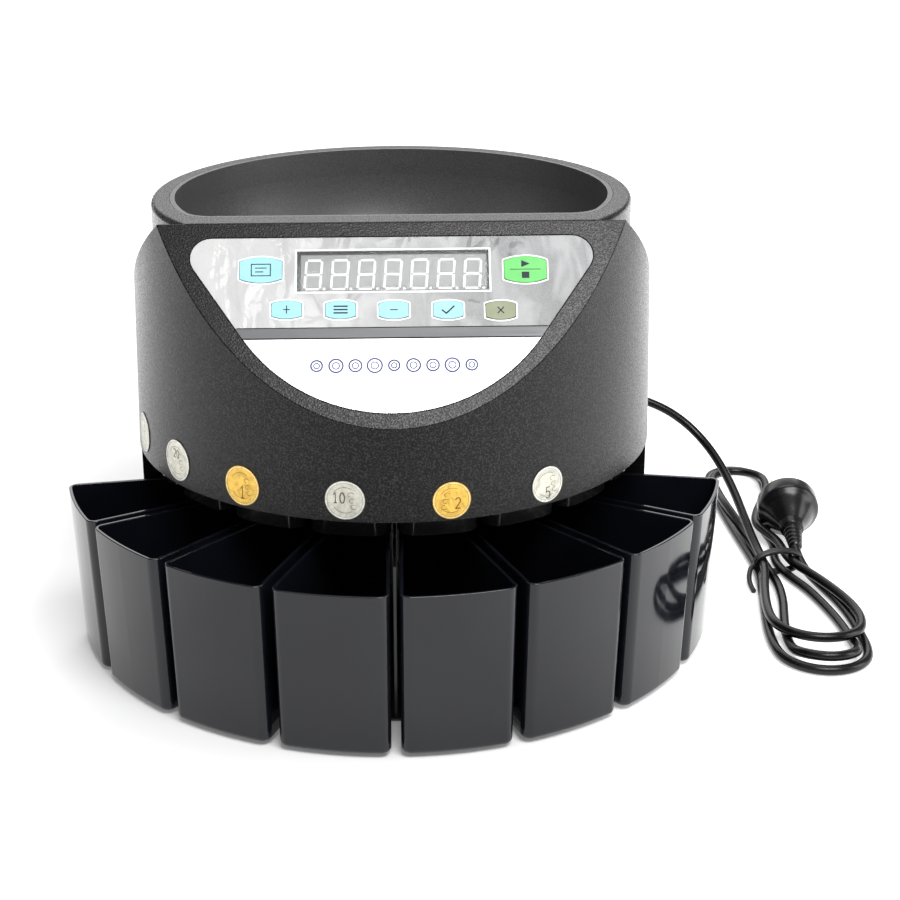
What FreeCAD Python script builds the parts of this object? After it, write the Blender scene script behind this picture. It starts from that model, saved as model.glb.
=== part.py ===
# Eight-cup electric coin counter and sorter, as separate pieces.
# Millimetres, +Z up, front of the machine towards -Y. Everything is modelled about the
# machine's vertical axis and then shifted along Y, so that the origin is the centre of the
# footprint of the machine without its cord, on the surface it stands on.
import FreeCAD, Part
import os
from math import sin, cos, tan, atan2, acos, asin, sqrt, pi, radians, degrees
from FreeCAD import Vector, Rotation, Placement, Matrix

# ---------------------------------------------------------------- driving dimensions
# hood
HOOD_Z0 = 107.6          # bottom edge
HOOD_Z1 = 238.7          # top plane
HOOD_R0 = 138.7          # radius at the bottom edge
HOOD_R1 = 135.65         # radius at the top plane
WALL = 2.5
CREASE_Y = -72.6         # crease where the sloping front meets the top plane
FACET_YB = -137.5        # lowest point of the sloping front
FACET_ZB = 154.8
SLOPE_Y = -26.0          # end of the straight slope behind the crease
SLOPE_Z = 203.2
DECK_Y = 34.0            # start of the level rear shoulder
DECK_Z = 181.0
COLLAR_R = 125.6
RIM_FILLET = 3.0
BOWL_R = 116.1           # opening in the hood's top
BOWL_CHORD = -59.6       # straight front edge of that opening
BOWL_CORNER = 18.0
# cups
CUPS = 8
PITCH = 20.0
CUP_Z0 = 2.4
CUP_Z1 = 87.2
CUP_R1 = 178.2           # outer radius at the cup's top
CUP_R0 = 174.8           # outer radius at the cup's bottom
CUP_RI = 76.0            # inner end
CUP_GAP = 4.6            # gap between neighbouring cups
CUP_T = 1.8
CUP_FLOOR = 2.2
CUP_CORNER = 5.0
# base and lower case
FOOT_H = 0.9
BASE_T = 1.2
BASE_R = 139.0
CASE_R = 138.0
CASE_Z1 = 107.2
CASE_FLAT_Y = 133.5
CASE_ANGLE = 81.5        # the lower case runs from this angle round the back
COLUMN_R = 70.0
FIN_R = 136.5
FIN_T = 1.4
FIN_Z1 = 83.5
DECK_Z0, DECK_Z1 = 104.5, 107.0
# coin track
PLATE_Z0, PLATE_Z1 = 138.4, 140.0
PLATE_R = 129.8
TRACK_R = 127.0
SLOT_W = [17.0, 18.4, 20.0, 21.2, 24.2, 25.8, 29.4, 32.4]   # from the +X end round to the -X end
CHUTE_Z0 = 97.0
# drive
SHAFT_R = 4.0
RUN_CLEAR = 0.04
MODULE = 1.0
GEAR_T, PINION_T = 54, 18
MOTOR_Y = MODULE * (GEAR_T + PINION_T) / 2.0
# panel on the sloping front, u across and w down the slope from the crease
P_TOP = 7.8
P_SIDE = (75.0, 55.5)
P_TAN = (71.5, 60.5)
P_BOT = 98.5
P_CORNER = 10.5
POCKET = 0.6
KEYS = {
    "key_report": (-63.1, 25.0, 20.4, 13.2),
    "key_start": (64.5, 25.9, 20.4, 13.6),
    "key_plus": (-50.5, 45.6, 14.4, 9.2),
    "key_batch": (-24.6, 45.9, 14.4, 9.2),
    "key_minus": (0.9, 46.2, 14.2, 9.2),
    "key_set": (26.9, 46.4, 14.2, 9.2),
    "key_clear": (52.1, 46.9, 14.2, 9.4),
}
KEY_TRAVEL = 0.5
WINDOW = (-45.5, 46.7, 15.4, 36.0)
# round coin labels on the hood: angle from the front, height, diameter
LABELS = [(-70.4, 121.4, 21.0), (-51.8, 120.4, 21.4), (-32.2, 119.0, 20.2), (-9.7, 118.7, 19.6), (11.5, 117.8, 18.8), (32.7, 117.9, 18.4)]
# mains cord
CORD_D = 5.4
GLAND_AZ = 40.0          # angle of the cord outlet from +Y towards +X
GLAND_Z = 72.0
GLAND_TIP = 166.0
CORD_ROUTE = [(119.5, 142.5, 72.8), (136.0, 152.0, 72.0), (154.5, 154.5, 69.0), (172.5, 152.0, 62.5),
              (185.5, 149.0, 54.5), (195.5, 143.5, 46.0), (203.5, 133.0, 37.5), (209.5, 119.0, 28.5), (213.0, 103.0, 20.5), (214.5, 86.0, 14.5)]
HANK = [(226.6, 194.5), (216.2, 191.5), (209.7, 184.5), (206.9, 175), (206.0, 160), (206.0, 138), (206.4, 112), (207.6, 82), (209.8, 54), (210.4, 33),
        (208.5, 8), (203.9, -22), (200.9, -50), (200.3, -71), (203.2, -84.5), (212.6, -95), (227.6, -98.8), (243, -94.8), (252.4, -84.5), (256, -71),
        (257.8, -54), (257.6, -30), (252.4, -8), (246.4, 13), (242.5, 28), (240.8, 43.3), (234.2, 43.4), (233.6, 54), (232.4, 62), (229.5, 71),
        (226.5, 78), (222.8, 81.8), (222.8, 96), (232, 112), (241.4, 128), (245.8, 150), (246.6, 176), (243.2, 186.5), (236.6, 192)]
HANK_Z0, HANK_Z1 = 0.3, 15.5
TIE_Y = 33.0
PLUG_N = (239.5, 57.0, 13.2)
PLUG_DIR = (0.085, 0.969, 0.19)

os.makedirs("parts", exist_ok=True)
V = Vector
parts = {}
cord_nodes = ["power_cord", "cord_hank", "cord_tie", "plug_body", "plug_pins", "plug_relief"]


# ---------------------------------------------------------------- helpers
def pol(r, a, z=0.0):
    """Point at radius r and angle a degrees from the front (-Y) towards +X."""
    return V(r * sin(radians(a)), -r * cos(radians(a)), z)


def cyl(r, z0, z1, x=0.0, y=0.0):
    return Part.makeCylinder(r, z1 - z0, V(x, y, z0))


def box(x0, x1, y0, y1, z0, z1):
    return Part.makeBox(x1 - x0, y1 - y0, z1 - z0, V(x0, y0, z0))


def sector(r0, r1, a0, a1, z0, z1):
    am = 0.5 * (a0 + a1)
    e = [Part.Arc(pol(r1, a0, z0), pol(r1, am, z0), pol(r1, a1, z0)).toShape(),
         Part.LineSegment(pol(r1, a1, z0), pol(r0, a1, z0)).toShape()]
    e.append(Part.Arc(pol(r0, a1, z0), pol(r0, am, z0), pol(r0, a0, z0)).toShape())
    e.append(Part.LineSegment(pol(r0, a0, z0), pol(r1, a0, z0)).toShape())
    return Part.Face(Part.Wire(e)).extrude(V(0, 0, z1 - z0))


def prism_yz(edges, x0, x1):
    return Part.Face(Part.Wire(edges)).extrude(V(x1 - x0, 0, 0))


def poly(points):
    pts = list(points)
    return [Part.LineSegment(pts[i], pts[(i + 1) % len(pts)]).toShape() for i in range(len(pts))]


def fillet_try(shape, radius, pick):
    edges = [e for e in shape.Edges if pick(e)]
    if not edges:
        print("no edges picked for a fillet of", radius)
        return shape
    try:
        out = shape.makeFillet(radius, edges)
        if out.isValid() and out.Volume > 0:
            return out
    except Exception as exc:
        print("fillet of", radius, "left out:", exc)
    return shape


def single(shape):
    s = shape.removeSplitter() if hasattr(shape, "removeSplitter") else shape
    if s.ShapeType == "Compound" and len(s.Solids) == 1:
        s = s.Solids[0]
    return s


def rot_z(shape, a, about=V(0, 0, 0)):
    s = shape.copy()
    s.rotate(about, V(0, 0, 1), a)
    return s


# ---------------------------------------------------------------- sloping front: its own frame
_f = V(0, FACET_YB - CREASE_Y, FACET_ZB - HOOD_Z1)
FACET_L = _f.Length
W_DIR = _f.normalize()                       # down the slope
N_DIR = V(0, W_DIR.z, -W_DIR.y).normalize()  # outward normal
if N_DIR.y > 0:
    N_DIR = N_DIR * -1.0
F_O = V(0, CREASE_Y, HOOD_Z1)


def fp(u, w, d=0.0):
    """Point at u across, w down the slope and d behind the sloping front."""
    return F_O + V(u, 0, 0) + W_DIR * w - N_DIR * d


def on_front(edges2d, d0, d1):
    """Extrude a closed outline on the sloping front between depths d0 and d1."""
    face = Part.Face(Part.Wire([e(d0) for e in edges2d]))
    return face.extrude(N_DIR * (d0 - d1))


def seg(a, b):
    return lambda d: Part.LineSegment(fp(a[0], a[1], d), fp(b[0], b[1], d)).toShape()


def arc(a, m, b):
    return lambda d: Part.Arc(fp(a[0], a[1], d), fp(m[0], m[1], d), fp(b[0], b[1], d)).toShape()


def rect2(u0, u1, w0, w1):
    return [seg((u0, w0), (u1, w0)), seg((u1, w0), (u1, w1)), seg((u1, w1), (u0, w1)), seg((u0, w1), (u0, w0))]


def barrel2(u, w, a, b, g=0.0):
    """Key outline: straight sides and bulging top and bottom."""
    hu, hw = a / 2 + g, b / 2 + g
    bulge = 0.16 * b
    return [arc((u - hu, w - hw + bulge), (u, w - hw), (u + hu, w - hw + bulge)), seg((u + hu, w - hw + bulge), (u + hu, w + hw - bulge)),
            arc((u + hu, w + hw - bulge), (u, w + hw), (u - hu, w + hw - bulge)), seg((u - hu, w + hw - bulge), (u - hu, w - hw + bulge))]


# panel outline: a straight top, round corners, straight sides that run into one large arc
_s = (P_SIDE[1] - P_TAN[1]) / (P_SIDE[0] - P_TAN[0])
_bot_r = (P_TAN[0] ** 2 + (P_BOT - P_TAN[1]) ** 2) / (2 * (P_BOT - P_TAN[1]))
_bot_c = P_BOT - _bot_r
_tan_dir = V(P_TAN[1] - _bot_c, -P_TAN[0], 0).normalize()     # up and outwards along the side


def panel_outline(g):
    """The whole panel outline shrunk by g, as (kind, points) for the right half."""
    r = _bot_r - g
    k = r / _bot_r
    tanp = (P_TAN[0] * k, _bot_c + (P_TAN[1] - _bot_c) * k)
    top = P_TOP + g
    t = (top - tanp[1]) / _tan_dir.y
    corner = (tanp[0] + _tan_dir.x * t, top)
    rc = P_CORNER - g
    ang = acos(_tan_dir.x)                       # between the top edge and the side
    ln = rc / tan(ang / 2)
    a = (corner[0] - ln, top)
    b = (corner[0] - _tan_dir.x * ln, corner[1] - _tan_dir.y * ln)
    c = (corner[0] - ln, top + rc)
    bis = V((a[0] + b[0]) / 2 - c[0], (a[1] + b[1]) / 2 - c[1], 0).normalize()
    m = (c[0] + bis.x * rc, c[1] + bis.y * rc)
    return a, m, b, tanp, r


def side_at(g, w):
    a, m, b, tanp, r = panel_outline(g)
    if w <= tanp[1]:
        t = (w - tanp[1]) / _tan_dir.y
        return tanp[0] + _tan_dir.x * t
    return sqrt(max(r * r - (w - _bot_c) ** 2, 0))


def panel_all(g):
    a, m, b, tanp, r = panel_outline(g)
    bot = (0.0, _bot_c + r)
    am = (r * sin(0.5 * atan2(tanp[0], tanp[1] - _bot_c)), _bot_c + r * cos(0.5 * atan2(tanp[0], tanp[1] - _bot_c)))
    return [seg((-a[0], a[1]), a), arc(a, m, b), seg(b, tanp), arc(tanp, am, bot), arc(bot, (-am[0], am[1]), (-tanp[0], tanp[1])),
            seg((-tanp[0], tanp[1]), (-b[0], b[1])), arc((-b[0], b[1]), (-m[0], m[1]), (-a[0], a[1]))]


def panel_band(g, w0, w1, d0, d1):
    """The part of the panel between w0 and w1."""
    whole = on_front(panel_all(g), d0, d1)
    cut = on_front(rect2(-130, 130, w0, w1), d0 - 1, d1 + 1)
    return single(whole.common(cut))


# ---------------------------------------------------------------- hood
def r_hood(z):
    return HOOD_R0 + (z - HOOD_Z0) * (HOOD_R1 - HOOD_R0) / (HOOD_Z1 - HOOD_Z0)


def cone_wall(off, z0, z1):
    return Part.makeCone(r_hood(z0) - off, r_hood(z1) - off, z1 - z0, V(0, 0, z0))


def keep_body(off):
    """Below the sloping front and below the falling shoulder, each moved in by off."""
    def yz(p):
        return V(-170, p[0], p[1])
    c = (CREASE_Y, HOOD_Z1)
    # offset front line and offset rear line
    fo = F_O - N_DIR * off
    fdir = W_DIR
    sd = V(0, SLOPE_Y - CREASE_Y, SLOPE_Z - HOOD_Z1).normalize()
    sn = V(0, -sd.z, sd.y)
    so = V(0, CREASE_Y, HOOD_Z1) - sn * off
    # crossing of the two offset lines
    det = fdir.y * (-sd.z) - (-sd.y) * fdir.z
    rhs = V(0, so.y - fo.y, so.z - fo.z)
    t = (rhs.y * (-sd.z) - (-sd.y) * rhs.z) / det
    cr = fo + fdir * t
    t_low = (-165 - fo.y) / fdir.y
    low = fo + fdir * t_low
    a = V(0, SLOPE_Y, SLOPE_Z) - sn * off
    b = V(0, DECK_Y, DECK_Z - off)
    # arc from the slope into the level shoulder
    ex = (b.z - a.z) / sd.z * sd.y + a.y
    corner = V(0, ex, b.z)
    mid = (a + b) * 0.5
    am = mid + (corner - mid) * 0.47
    pts = [(-165, 90), (-165, low.z), (cr.y, cr.z), (a.y, a.z)]
    edges = [Part.LineSegment(yz(pts[i]), yz(pts[i + 1])).toShape() for i in range(3)]
    edges.append(Part.Arc(yz((a.y, a.z)), yz((am.y, am.z)), yz((b.y, b.z))).toShape())
    edges.append(Part.LineSegment(yz((b.y, b.z)), yz((165, b.z))).toShape())
    edges.append(Part.LineSegment(yz((165, b.z)), yz((165, 90))).toShape())
    edges.append(Part.LineSegment(yz((165, 90)), yz((-165, 90))).toShape())
    return prism_yz(edges, -170, 170)


def keep_front(off):
    """Below the sloping front only."""
    fo = F_O - N_DIR * off
    low = fo + W_DIR * ((-165 - fo.y) / W_DIR.y)
    high = fo - W_DIR * 30.0
    pts = [V(-170, -165, 90), V(-170, -165, low.z), V(-170, high.y, high.z), V(-170, 165, high.z), V(-170, 165, 90)]
    return prism_yz(poly(pts), -170, 170)


def bowl_outline(r, chord, rc, z0, z1):
    """Round opening with a straight front edge and rounded ends, as a prism."""
    # centre of the corner circles
    cx = sqrt((r - rc) ** 2 - (chord + rc) ** 2)
    cy = chord + rc
    k = r / (r - rc)
    pc = V(cx * k, cy * k, z0)                    # where a corner meets the big circle
    pl = V(cx, chord, z0)                         # where a corner meets the chord
    bis = (V(pc.x - cx, pc.y - cy, 0).normalize() + V(0, -1, 0)).normalize()
    pm = V(cx + bis.x * rc, cy + bis.y * rc, z0)
    m = lambda p: V(-p.x, p.y, p.z)
    e = [Part.Arc(pc, V(0, r, z0), m(pc)).toShape(), Part.Arc(m(pc), m(pm), m(pl)).toShape(),
         Part.LineSegment(m(pl), pl).toShape(), Part.Arc(pl, pm, pc).toShape()]
    return Part.Face(Part.Wire(e)).extrude(V(0, 0, z1 - z0))


body_out = cone_wall(0, HOOD_Z0, HOOD_Z1).common(keep_body(0))
body_out = fillet_try(body_out, 0.7, lambda e: e.BoundBox.ZMin > HOOD_Z0 + 5 and e.Length > 40)
collar = fillet_try(cyl(COLLAR_R, 150, HOOD_Z1), RIM_FILLET, lambda e: e.BoundBox.ZMin > HOOD_Z1 - 0.1 and abs(e.BoundBox.XLength - 2 * COLLAR_R) < 1)
collar = collar.common(keep_front(0.0))
collar = fillet_try(single(collar), 1.4, lambda e: abs(e.BoundBox.ZMax - HOOD_Z1) < 0.05 and e.BoundBox.YLength < 0.05 and e.BoundBox.XLength > 100)
hood_out = body_out.fuse(collar)
body_in = cone_wall(WALL, HOOD_Z0 - 5, HOOD_Z1).common(keep_body(WALL))
collar_in = cyl(COLLAR_R - WALL, 140, HOOD_Z1 - WALL).common(keep_front(WALL))
hood = hood_out.cut(body_in.fuse(collar_in))
hood = hood.cut(bowl_outline(BOWL_R, BOWL_CHORD, BOWL_CORNER, HOOD_Z1 - 12, HOOD_Z1 + 5))
hood = hood.cut(on_front(panel_all(0.0), -2.0, POCKET))
hood = hood.cut(on_front(rect2(WINDOW[0] - 0.2, WINDOW[1] + 0.2, WINDOW[2] - 0.2, WINDOW[3] + 0.2), -2.0, 6.0))
for name, (u, w, a, b) in KEYS.items():
    hood = hood.cut(on_front(barrel2(u, w, a, b, 0.35), -2.0, 6.0))
hood = single(hood)
print("hood solids", len(hood.Solids), "valid", hood.isValid(), "volume cm3", round(hood.Volume / 1000, 1))
parts["hood_shell"] = hood

# ---------------------------------------------------------------- hopper bowl
BOWL_LOW = 151.0
THROAT_R = 56.0


def funnel(off, z_top, z_low):
    """Solid of revolution inside the bowl, grown by off."""
    r_top = BOWL_R - 0.2 - 2.6 + off
    p = [V(0, 0, z_low), V(THROAT_R + off, 0, z_low), V(THROAT_R + off, 0, 157.0 - 0.4 * off), V(r_top, 0, 224.0 - 0.5 * off), V(r_top, 0, z_top), V(0, 0, z_top)]
    # curved funnel wall between throat and rim
    e = [Part.LineSegment(p[0], p[1]).toShape(), Part.LineSegment(p[1], p[2]).toShape(),
         Part.Arc(p[2], V(96.0 + off * 0.75, 0, 180.0 - off * 0.66), p[3]).toShape(),
         Part.LineSegment(p[3], p[4]).toShape(), Part.LineSegment(p[4], p[5]).toShape(), Part.LineSegment(p[5], p[0]).toShape()]
    return Part.Face(Part.Wire(e)).revolve(V(0, 0, 0), V(0, 0, 1), 360)


b_out = funnel(2.6, HOOD_Z1, BOWL_LOW).common(bowl_outline(BOWL_R - 0.2, BOWL_CHORD + 0.2, BOWL_CORNER, BOWL_LOW - 1, HOOD_Z1 + 1))
b_in = funnel(0.0, HOOD_Z1 + 3, BOWL_LOW - 3).common(bowl_outline(BOWL_R - 2.8, BOWL_CHORD + 2.8, BOWL_CORNER - 2.4, BOWL_LOW - 5, HOOD_Z1 + 4))
bowl = single(b_out.cut(b_in))
print("bowl solids", len(bowl.Solids), bowl.isValid(), round(bowl.Volume / 1000, 1))
parts["hopper_bowl"] = bowl

# ---------------------------------------------------------------- panel pieces
overlay = panel_band(0.12, P_TOP, 54.9, 0.1, POCKET)
overlay = overlay.cut(on_front(rect2(WINDOW[0] - 0.15, WINDOW[1] + 0.15, WINDOW[2] - 0.15, WINDOW[3] + 0.15), -1, 2))
for name, (u, w, a, b) in KEYS.items():
    overlay = overlay.cut(on_front(barrel2(u, w, a, b, 0.3), -1, 2))
parts["keypad_overlay"] = single(overlay)
parts["panel_divider"] = panel_band(0.12, 55.3, 60.2, -0.2, POCKET)
parts["label_plate"] = panel_band(0.12, 60.6, P_BOT, 0.1, POCKET)
parts["display_window"] = on_front(rect2(WINDOW[0], WINDOW[1], WINDOW[2], WINDOW[3]), 0.1, 1.5)
digits = []
for i in range(7):
    u0 = -43.9 + i * 12.85
    digits.append(on_front(rect2(u0, u0 + 12.8, WINDOW[2] + 0.8, WINDOW[3] - 0.8), 2.7, 9.2))
parts["display_digits"] = Part.makeCompound(digits)
parts["display_board"] = on_front(rect2(-82, 82, 11.5, 54.0), 9.2, 10.8)
switches = []
for name, (u, w, a, b) in KEYS.items():
    cap = on_front(barrel2(u, w, a, b), -0.5, 2.9)
    flange = on_front(barrel2(u, w, a, b, 0.9), 3.1, 3.9)
    neck = on_front(barrel2(u, w, a, b), 2.9, 3.1)
    stem = on_front(rect2(u - 1.6, u + 1.6, w - 1.6, w + 1.6), 3.9, 5.0)
    key = cap.fuse([neck, flange, stem]).removeSplitter()
    parts[name] = single(key)
    base = on_front(rect2(u - 3.1, u + 3.1, w - 3.1, w + 3.1), 6.2, 9.2)
    plunger = Part.makeCylinder(1.7, 0.5, fp(u, w, 6.2), N_DIR)
    switches.append(single(base.fuse(plunger)))
parts["key_switches"] = Part.makeCompound(switches)

labels = []
for a, z, d in LABELS:
    skin = cone_wall(-0.28, 100, 140).cut(cone_wall(-0.02, 100, 140))
    drill = Part.makeCylinder(d / 2, 40, pol(120, a, z), V(sin(radians(a)), -cos(radians(a)), 0))
    labels.append(single(skin.common(drill)))
parts["coin_labels"] = Part.makeCompound([s.Solids[0] for s in labels])

# ---------------------------------------------------------------- base, lower case, cup bay
base_z0, base_z1 = FOOT_H, FOOT_H + BASE_T
POSTS = [(40, -30), (-40, -30), (100, 58), (-100, 58), (48, 116), (-48, 116)]
base = cyl(BASE_R, base_z0, base_z1)
for x, y in POSTS:
    base = base.cut(cyl(1.8, 0, 10, x, y))
parts["base_plate"] = base
parts["rubber_feet"] = Part.makeCompound([cyl(9, 0, base_z0, x, y) for x, y in ((88, -88), (-88, -88), (88, 88), (-88, 88))])

case_z0 = base_z1
outer = cyl(CASE_R, case_z0, CASE_Z1).common(box(-150, 150, -150, CASE_FLAT_Y, 0, 150))
inner = cyl(CASE_R - WALL, case_z0 - 1, CASE_Z1 + 1).common(box(-150, 150, -150, CASE_FLAT_Y - WALL, -1, 150))
ring = outer.cut(inner)
keep = sector(60, 150, CASE_ANGLE, 360 - CASE_ANGLE, case_z0 - 2, CASE_Z1 + 2)
wall_c = ring.common(keep)
ends = []
for s in (1, -1):
    a = radians(s * CASE_ANGLE)
    slab = box(68.2, CASE_R - 1.0, 0, WALL, case_z0, DECK_Z0)
    if s < 0:
        slab = box(68.2, CASE_R - 1.0, -WALL, 0, case_z0, DECK_Z0)
    slab = rot_z(slab, s * CASE_ANGLE - 90)
    ends.append(slab.common(cyl(CASE_R - 0.5, 0, 120)))
case = wall_c.fuse(ends)
gdir = V(sin(radians(GLAND_AZ)), cos(radians(GLAND_AZ)), 0)
case = case.cut(Part.makeCylinder(5.1, 30, gdir * 120 + V(0, 0, GLAND_Z), gdir))
SW = (-20.0, 60.0)       # power switch centre on the flat back
PORT = (18.0, 60.0)      # data socket centre on the flat back
case = case.cut(box(SW[0] - 6.6, SW[0] + 6.6, 125, 140, SW[1] - 10.4, SW[1] + 10.4))
case = case.cut(box(PORT[0] - 9.1, PORT[0] + 9.1, 125, 140, PORT[1] - 5.6, PORT[1] + 5.6))
for s in (1, -1):
    for i in range(7):
        a = 180 + s * (44 + i * 4.2)
        slot = sector(130, 145, a - 1.0, a + 1.0, 24, 52)
        case = case.cut(slot)
case = single(case)
print("case solids", len(case.Solids), case.isValid())
parts["rear_housing"] = case

bay = sector(COLUMN_R - WALL, COLUMN_R, -79.5, 79.5, case_z0, DECK_Z0)
fins = []
for a in (-60, -40, -20, 0, 20, 40, 60):
    f = box(COLUMN_R - 1.0, FIN_R, -FIN_T / 2, FIN_T / 2, case_z0, FIN_Z1)
    fins.append(rot_z(f, a - 90))
bay = single(bay.fuse(fins))
parts["cup_bay"] = bay

deck = cyl(91.0, DECK_Z0, DECK_Z1).fuse(sector(60, CASE_R - WALL - 0.3, CASE_ANGLE + 1.2, 360 - CASE_ANGLE - 1.2, DECK_Z0, DECK_Z1).common(box(-150, 150, -150, CASE_FLAT_Y - WALL - 0.3, 0, 150)))
deck = deck.cut(cyl(11.0, 100, 110))
TOP_POSTS = [pol(60, a) for a in (45, 135, 225, 315)]
for x, y in POSTS:
    deck = deck.cut(cyl(1.8, 100, 110, x, y))
parts["chassis_deck"] = single(deck)

posts = []
for x, y in POSTS:
    p = cyl(4.5, base_z1, DECK_Z0, x, y)
    p = p.cut(cyl(1.75, base_z1 - 1, base_z1 + 13, x, y)).cut(cyl(1.75, DECK_Z0 - 13, DECK_Z0 + 1, x, y))
    posts.append(p)
for t in TOP_POSTS:
    posts.append(cyl(5.0, DECK_Z1, PLATE_Z0, t.x, t.y))
parts["deck_posts"] = Part.makeCompound(posts)

screws = []
for x, y in POSTS:
    low = cyl(1.6, base_z0, base_z0 + 12, x, y).fuse(cyl(3.2, base_z0 - 0.6, base_z0, x, y))
    up = cyl(1.6, DECK_Z1 - 12, DECK_Z1, x, y).fuse(cyl(3.2, DECK_Z1, DECK_Z1 + 1.8, x, y))
    screws += [single(low), single(up)]
parts["case_screws"] = Part.makeCompound(screws)

# ---------------------------------------------------------------- coin track
CENTRES = [-70 + PITCH * i for i in range(CUPS)]
plate = cyl(PLATE_R, PLATE_Z0, PLATE_Z1).cut(cyl(12.0, 130, 145))
for i, a in enumerate(CENTRES):
    wdt = SLOT_W[CUPS - 1 - i]
    plate = plate.cut(sector(TRACK_R - wdt, TRACK_R, a - 7.4, a + 7.4, 130, 145))
parts["sort_plate"] = single(plate)
parts["track_fence"] = cyl(PLATE_R, PLATE_Z1, 152.0).cut(cyl(PLATE_R - 2.2, 130, 160))
chute = sector(92.2, 130.5, -79.5, 79.5, 107.0, PLATE_Z0)
upright = lambda s, r: [e for e in s.Edges if e.BoundBox.ZLength > 9 and e.CenterOfMass.x ** 2 + e.CenterOfMass.y ** 2 > r * r]
for a in CENTRES:
    spout = sector(92.2, 130.5, a - 9.3, a + 9.3, CHUTE_Z0, 107.0)
    chute = chute.fuse(spout.makeFillet(9.0, upright(spout, 120)))
for a in CENTRES:
    pocket = sector(94.4, 128.0, a - 8.9, a + 8.9, CHUTE_Z0 - 1, PLATE_Z0 + 1)
    chute = chute.cut(pocket.makeFillet(6.5, upright(pocket, 120)))
parts["chute_ring"] = single(chute)
parts["coin_sensors"] = Part.makeCompound([sector(130.5, 134.3, a - 2.2, a + 2.2, 124, 133) for a in CENTRES])

# ---------------------------------------------------------------- drive
def gear(teeth, z0, z1, x, y, phase, bore, thin=0.06):
    """Involute spur gear, 20 degree pressure angle; phase is the angle of a tooth's centre."""
    m = MODULE
    rp = teeth * m / 2.0
    rb = rp * cos(radians(20))
    ra, rf = rp + m, rp - 1.25 * m
    inv = lambda al: tan(al) - al
    half = pi / (2 * teeth) - thin / rp
    pts = []
    for k in range(teeth):
        c = radians(phase) + 2 * pi * k / teeth
        flank = []
        r_start = max(rb, rf + 0.05)
        for j in range(5):
            r = r_start + (ra - r_start) * j / 4.0
            al = acos(min(1.0, rb / r))
            flank.append((r, half + inv(radians(20)) - inv(al)))
        left = [(rf, -(flank[0][1] + 0.25 / rp))] + [(r, -t) for r, t in flank]
        right = [(r, t) for r, t in reversed(flank)] + [(rf, flank[0][1] + 0.25 / rp)]
        for r, t in left + right:
            pts.append(V(x + r * cos(c + t), y + r * sin(c + t), z0))
    face = Part.Face(Part.Wire(poly(pts)))
    g = face.extrude(V(0, 0, z1 - z0))
    if bore:
        g = g.cut(cyl(bore, z0 - 1, z1 + 1, x, y))
    return g


# the wheel gear has a tooth space facing the pinion, and the pinion a tooth facing it
big = gear(GEAR_T, 88.5, 96.5, 0, 0, 90 + 180.0 / GEAR_T, 0)
big = big.fuse(cyl(9.0, 96.5, 102.0)).cut(cyl(SHAFT_R, 80, 110))
parts["drive_gear"] = single(big)
pin = gear(PINION_T, 87.5, 97.5, 0, MOTOR_Y, -90, 0)
pin = pin.fuse(cyl(2.5, 77.0, 87.5, 0, MOTOR_Y))
parts["motor_pinion"] = single(pin)
parts["main_shaft"] = cyl(SHAFT_R, 80.0, 165.0)
hub = Part.makeCone(22, 10, 18, V(0, 0, 147)).fuse([cyl(84.0, 143, 147), cyl(13, 141.2, 143)])
hub = hub.cut(cyl(SHAFT_R, 140, 166))
parts["coin_wheel"] = single(hub)
parts["wheel_fingers"] = Part.makeCompound([sector(84.0, 126.2, a - 1.0, a + 1.0, 141.2, 146.4) for a in range(0, 360, 36)])
cap = Part.makeCylinder(8.0, 4.0, V(0, 0, 165))
parts["wheel_cap"] = fillet_try(cap, 2.0, lambda e: e.BoundBox.ZMin > 168.9)
parts["main_bearings"] = Part.makeCompound([cyl(11.0, 103.0, 109.0).cut(cyl(SHAFT_R + RUN_CLEAR, 90, 120)), cyl(9.0, 81.5, 86.5).cut(cyl(SHAFT_R + RUN_CLEAR, 70, 120))])
br = box(-36, 36, -22, 62, 84, 86).cut(cyl(9.0, 80, 90)).cut(cyl(6.0, 80, 90, 0, MOTOR_Y))
for x in (30, -30):
    for y in (-16, 57):
        br = br.fuse(cyl(3.5, 86, DECK_Z0, x, y))
parts["motor_bracket"] = single(br)
motor = cyl(18.5, 26, 84, 0, MOTOR_Y).cut(cyl(2.55, 76, 90, 0, MOTOR_Y))
motor = fillet_try(motor, 2.0, lambda e: e.BoundBox.ZMax < 26.1)
motor = motor.fuse(cyl(6.0, 21, 26, 0, MOTOR_Y))
parts["drive_motor"] = single(motor)

# ---------------------------------------------------------------- electrics
parts["transformer"] = single(box(-88, -36, 48, 92, 8, 48).fuse([box(-82, -42, 44, 96, 14, 42), box(-94, -30, 52, 88, base_z1, 8)]))
parts["main_board"] = box(-20, 80, 96, 97.6, 12, 84)
comp = [Part.makeCylinder(8, 22, V(0, 96, 66), V(0, -1, 0)), Part.makeCylinder(8, 22, V(19, 96, 66), V(0, -1, 0)), Part.makeCylinder(5, 14, V(70, 96, 72), V(0, -1, 0)),
        box(34, 58, 88, 96, 56, 78), box(10, 34, 93, 96, 24, 34), box(42, 64, 93, 96, 24, 44), box(-14, 2, 86, 96, 18, 40), box(68, 76, 84, 96, 30, 56)]
parts["board_parts"] = Part.makeCompound(comp)

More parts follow.
